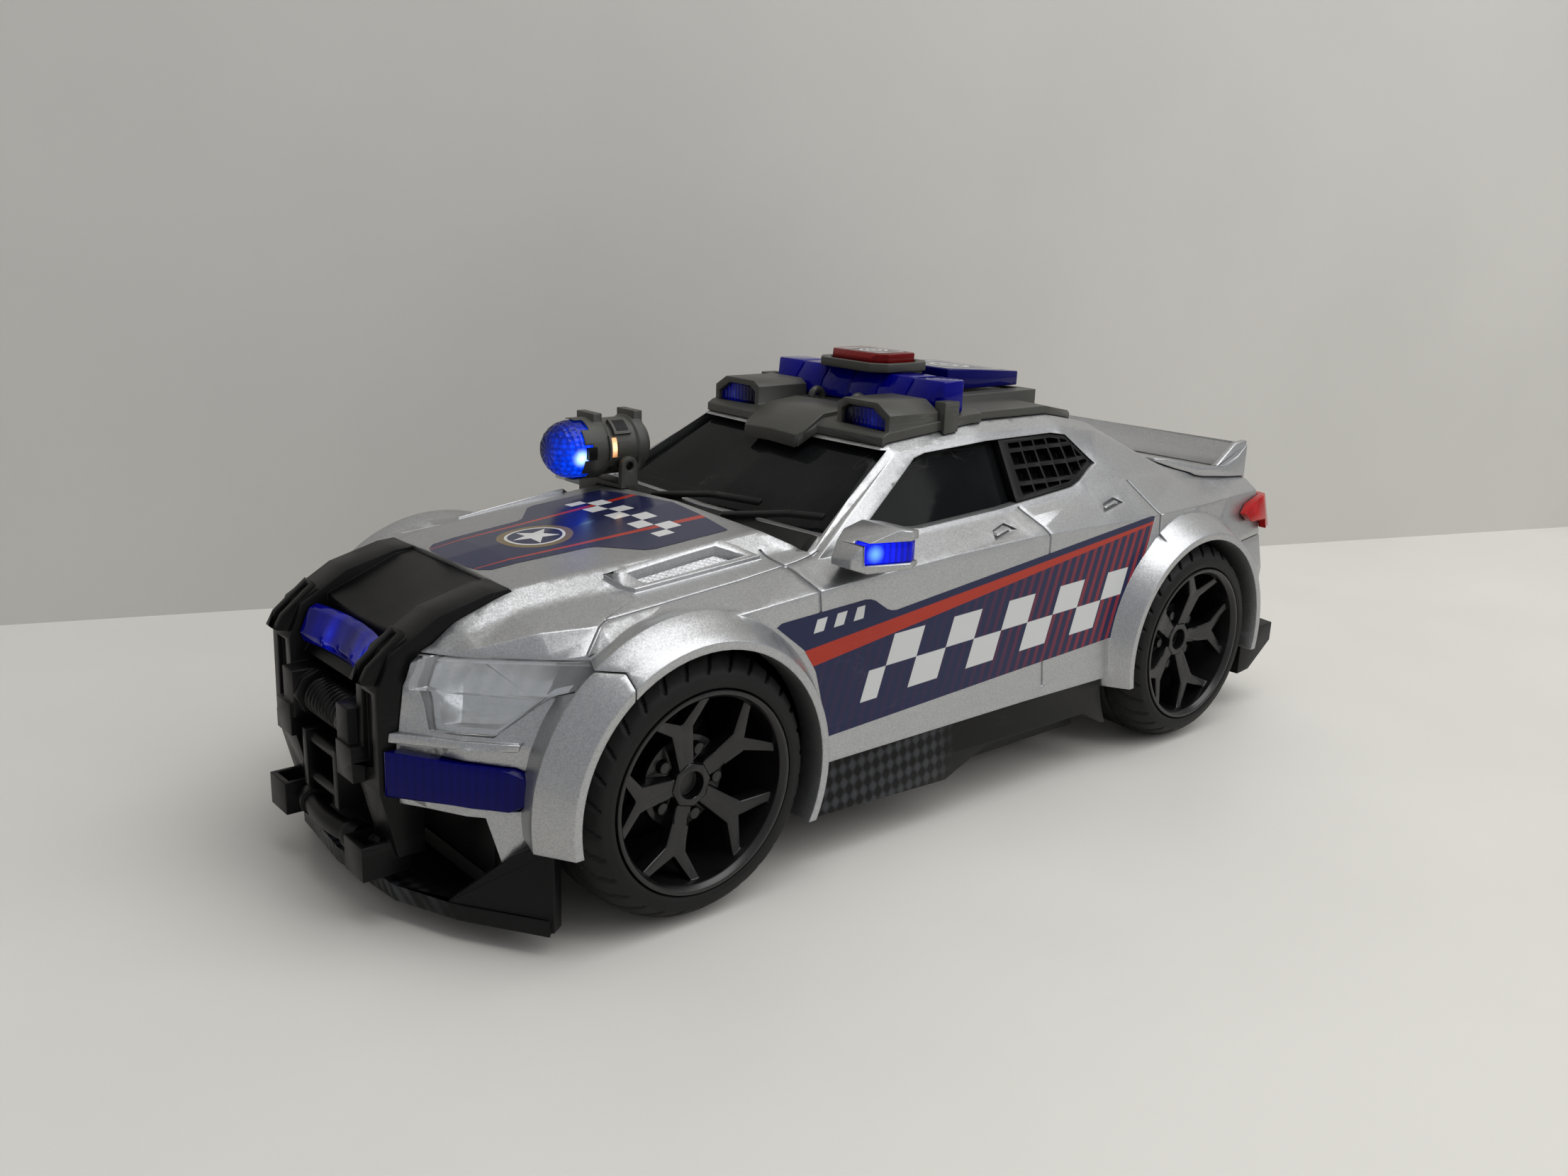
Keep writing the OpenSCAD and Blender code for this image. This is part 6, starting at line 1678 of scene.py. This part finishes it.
@dataclass
class PhotoCamera:
    """Camera at the photograph's place: position, heading, dip and roll, and its focal length in pixels."""

    place: Point = (0.2972, -0.2791, 0.1630)
    yaw: float = 138.62
    dip: float = 15.46
    roll: float = -2.2
    focal: float = 1908.9
    frame_width: float = 2212.0
    sensor: float = 36.0
    clip: tuple[float, float] = (0.01, 20.0)

    def build(self) -> None:
        """Makes the camera and gives it to the scene."""
        yaw, dip, roll = (math.radians(a) for a in (self.yaw, self.dip, self.roll))
        ahead = np.array([math.cos(dip) * math.cos(yaw), math.cos(dip) * math.sin(yaw), -math.sin(dip)])
        level = np.array([math.sin(yaw), -math.cos(yaw), 0.0])
        below = np.cross(ahead, level)
        right = math.cos(roll) * level + math.sin(roll) * below
        down = -math.sin(roll) * level + math.cos(roll) * below
        data = bpy.data.cameras.new("photo_camera")
        data.sensor_width = self.sensor
        data.lens = self.focal / self.frame_width * self.sensor
        data.clip_start, data.clip_end = self.clip
        bpy.context.scene.camera = add_object("photo_camera", data, turned(self.place, right, -down, -ahead))


@dataclass
class Studio:
    """Pale table and wall under soft light."""

    table: Colour = (0.66, 0.645, 0.60)
    wall: Colour = (0.56, 0.545, 0.51)
    edge: Line = ((-0.270, -0.178), (0.010, 0.596))
    size: float = 3.0
    grid: tuple[int, int] = (9, 9)
    aim: Point = (0.0, 0.0, 0.05)
    lights: tuple[tuple[str, Point, tuple[float, float], float], ...] = (
        ("ceiling_light", (0.35, 0.25, 1.5), (1.3, 1.3), 15.0), ("window_light", (1.1, 0.6, 0.9), (1.0, 0.8), 6.0),
    )
    sky: Colour = (0.94, 0.95, 1.0)
    sky_power: float = 0.45

    def surface(self, name: str, corners: Sequence[np.ndarray], colour: Colour, front: np.ndarray) -> None:
        """Flat, faintly clouded stage surface between four corners, clear when seen from behind."""
        made = new_piece(name, between(corners, *unit_grid(*self.grid)), grid_faces(*self.grid))
        turn_towards(made, front)
        material = bpy.data.materials.new(name)
        w = SurfaceWiring(material)
        cloud = w.noise(w.place, 7.0, Detail=6.0)
        dark, light = (tuple(min(1.0, c * share) for c in colour) for share in (0.975, 1.02))
        behind = w.add("ShaderNodeNewGeometry").outputs["Backfacing"]
        w.set(
            Base_Color=w.blend(w.ramp(cloud, 0.3, 0.7), dark, light), Roughness=w.ramp(cloud, 0.3, 0.7, 0.42, 0.55),
            Alpha=w.math("SUBTRACT", 1.0, behind),
        )
        made.data.materials.append(material)

    def light(self, name: str, place: Point, size: tuple[float, float], watts: float) -> None:
        """Soft rectangular light that looks at the car."""
        data = bpy.data.lights.new(name, "AREA")
        data.shape, data.size, data.size_y, data.energy = "RECTANGLE", *size, watts
        back = np.array(place) - np.array(self.aim)
        back /= np.linalg.norm(back)
        side = np.cross(UP, back)
        side /= np.linalg.norm(side)
        add_object(name, data, turned(place, side, np.cross(back, side), back))

    def build(self) -> None:
        """Makes the table, the wall along its far edge, the lights and the world."""
        a, b = (np.array([*p, 0.0]) for p in self.edge)
        along = (b - a) / np.linalg.norm(b - a) * self.size
        near = np.array([along[1], -along[0], 0.0])
        up = np.array(UP) * self.size
        a, b = a - along, b + along
        self.surface("pale_table", (b, a, a + near, b + near), self.table, up)
        self.surface("pale_wall", (a, b, b + up, a + up), self.wall, near)
        for light in self.lights:
            self.light(*light)
        scene = bpy.context.scene
        scene.world = bpy.data.worlds.new("soft_room")
        scene.world.use_nodes = True
        air = scene.world.node_tree.nodes["Background"].inputs
        air["Color"].default_value = (*self.sky, 1.0)
        air["Strength"].default_value = self.sky_power
        scene.view_settings.view_transform = "Standard"


def main() -> None:
    logging.basicConfig(level=logging.INFO, format="%(name)s: %(message)s")
    for old in list(bpy.data.objects):
        bpy.data.objects.remove(old)
    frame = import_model()
    form = BodyForm()
    PhotoCamera().build()
    for kind in (PaintedBody, Films, FrontBar, RoofGear, SearchLamp, Wheels, Underside):
        made = kind(frame, form)
        made.build()
        for piece in made.pieces:
            LOG.info("%s: %s, %d faces", kind.__name__, piece.name, len(piece.data.polygons))
    Studio().build()


if __name__ == "__main__":
    main()
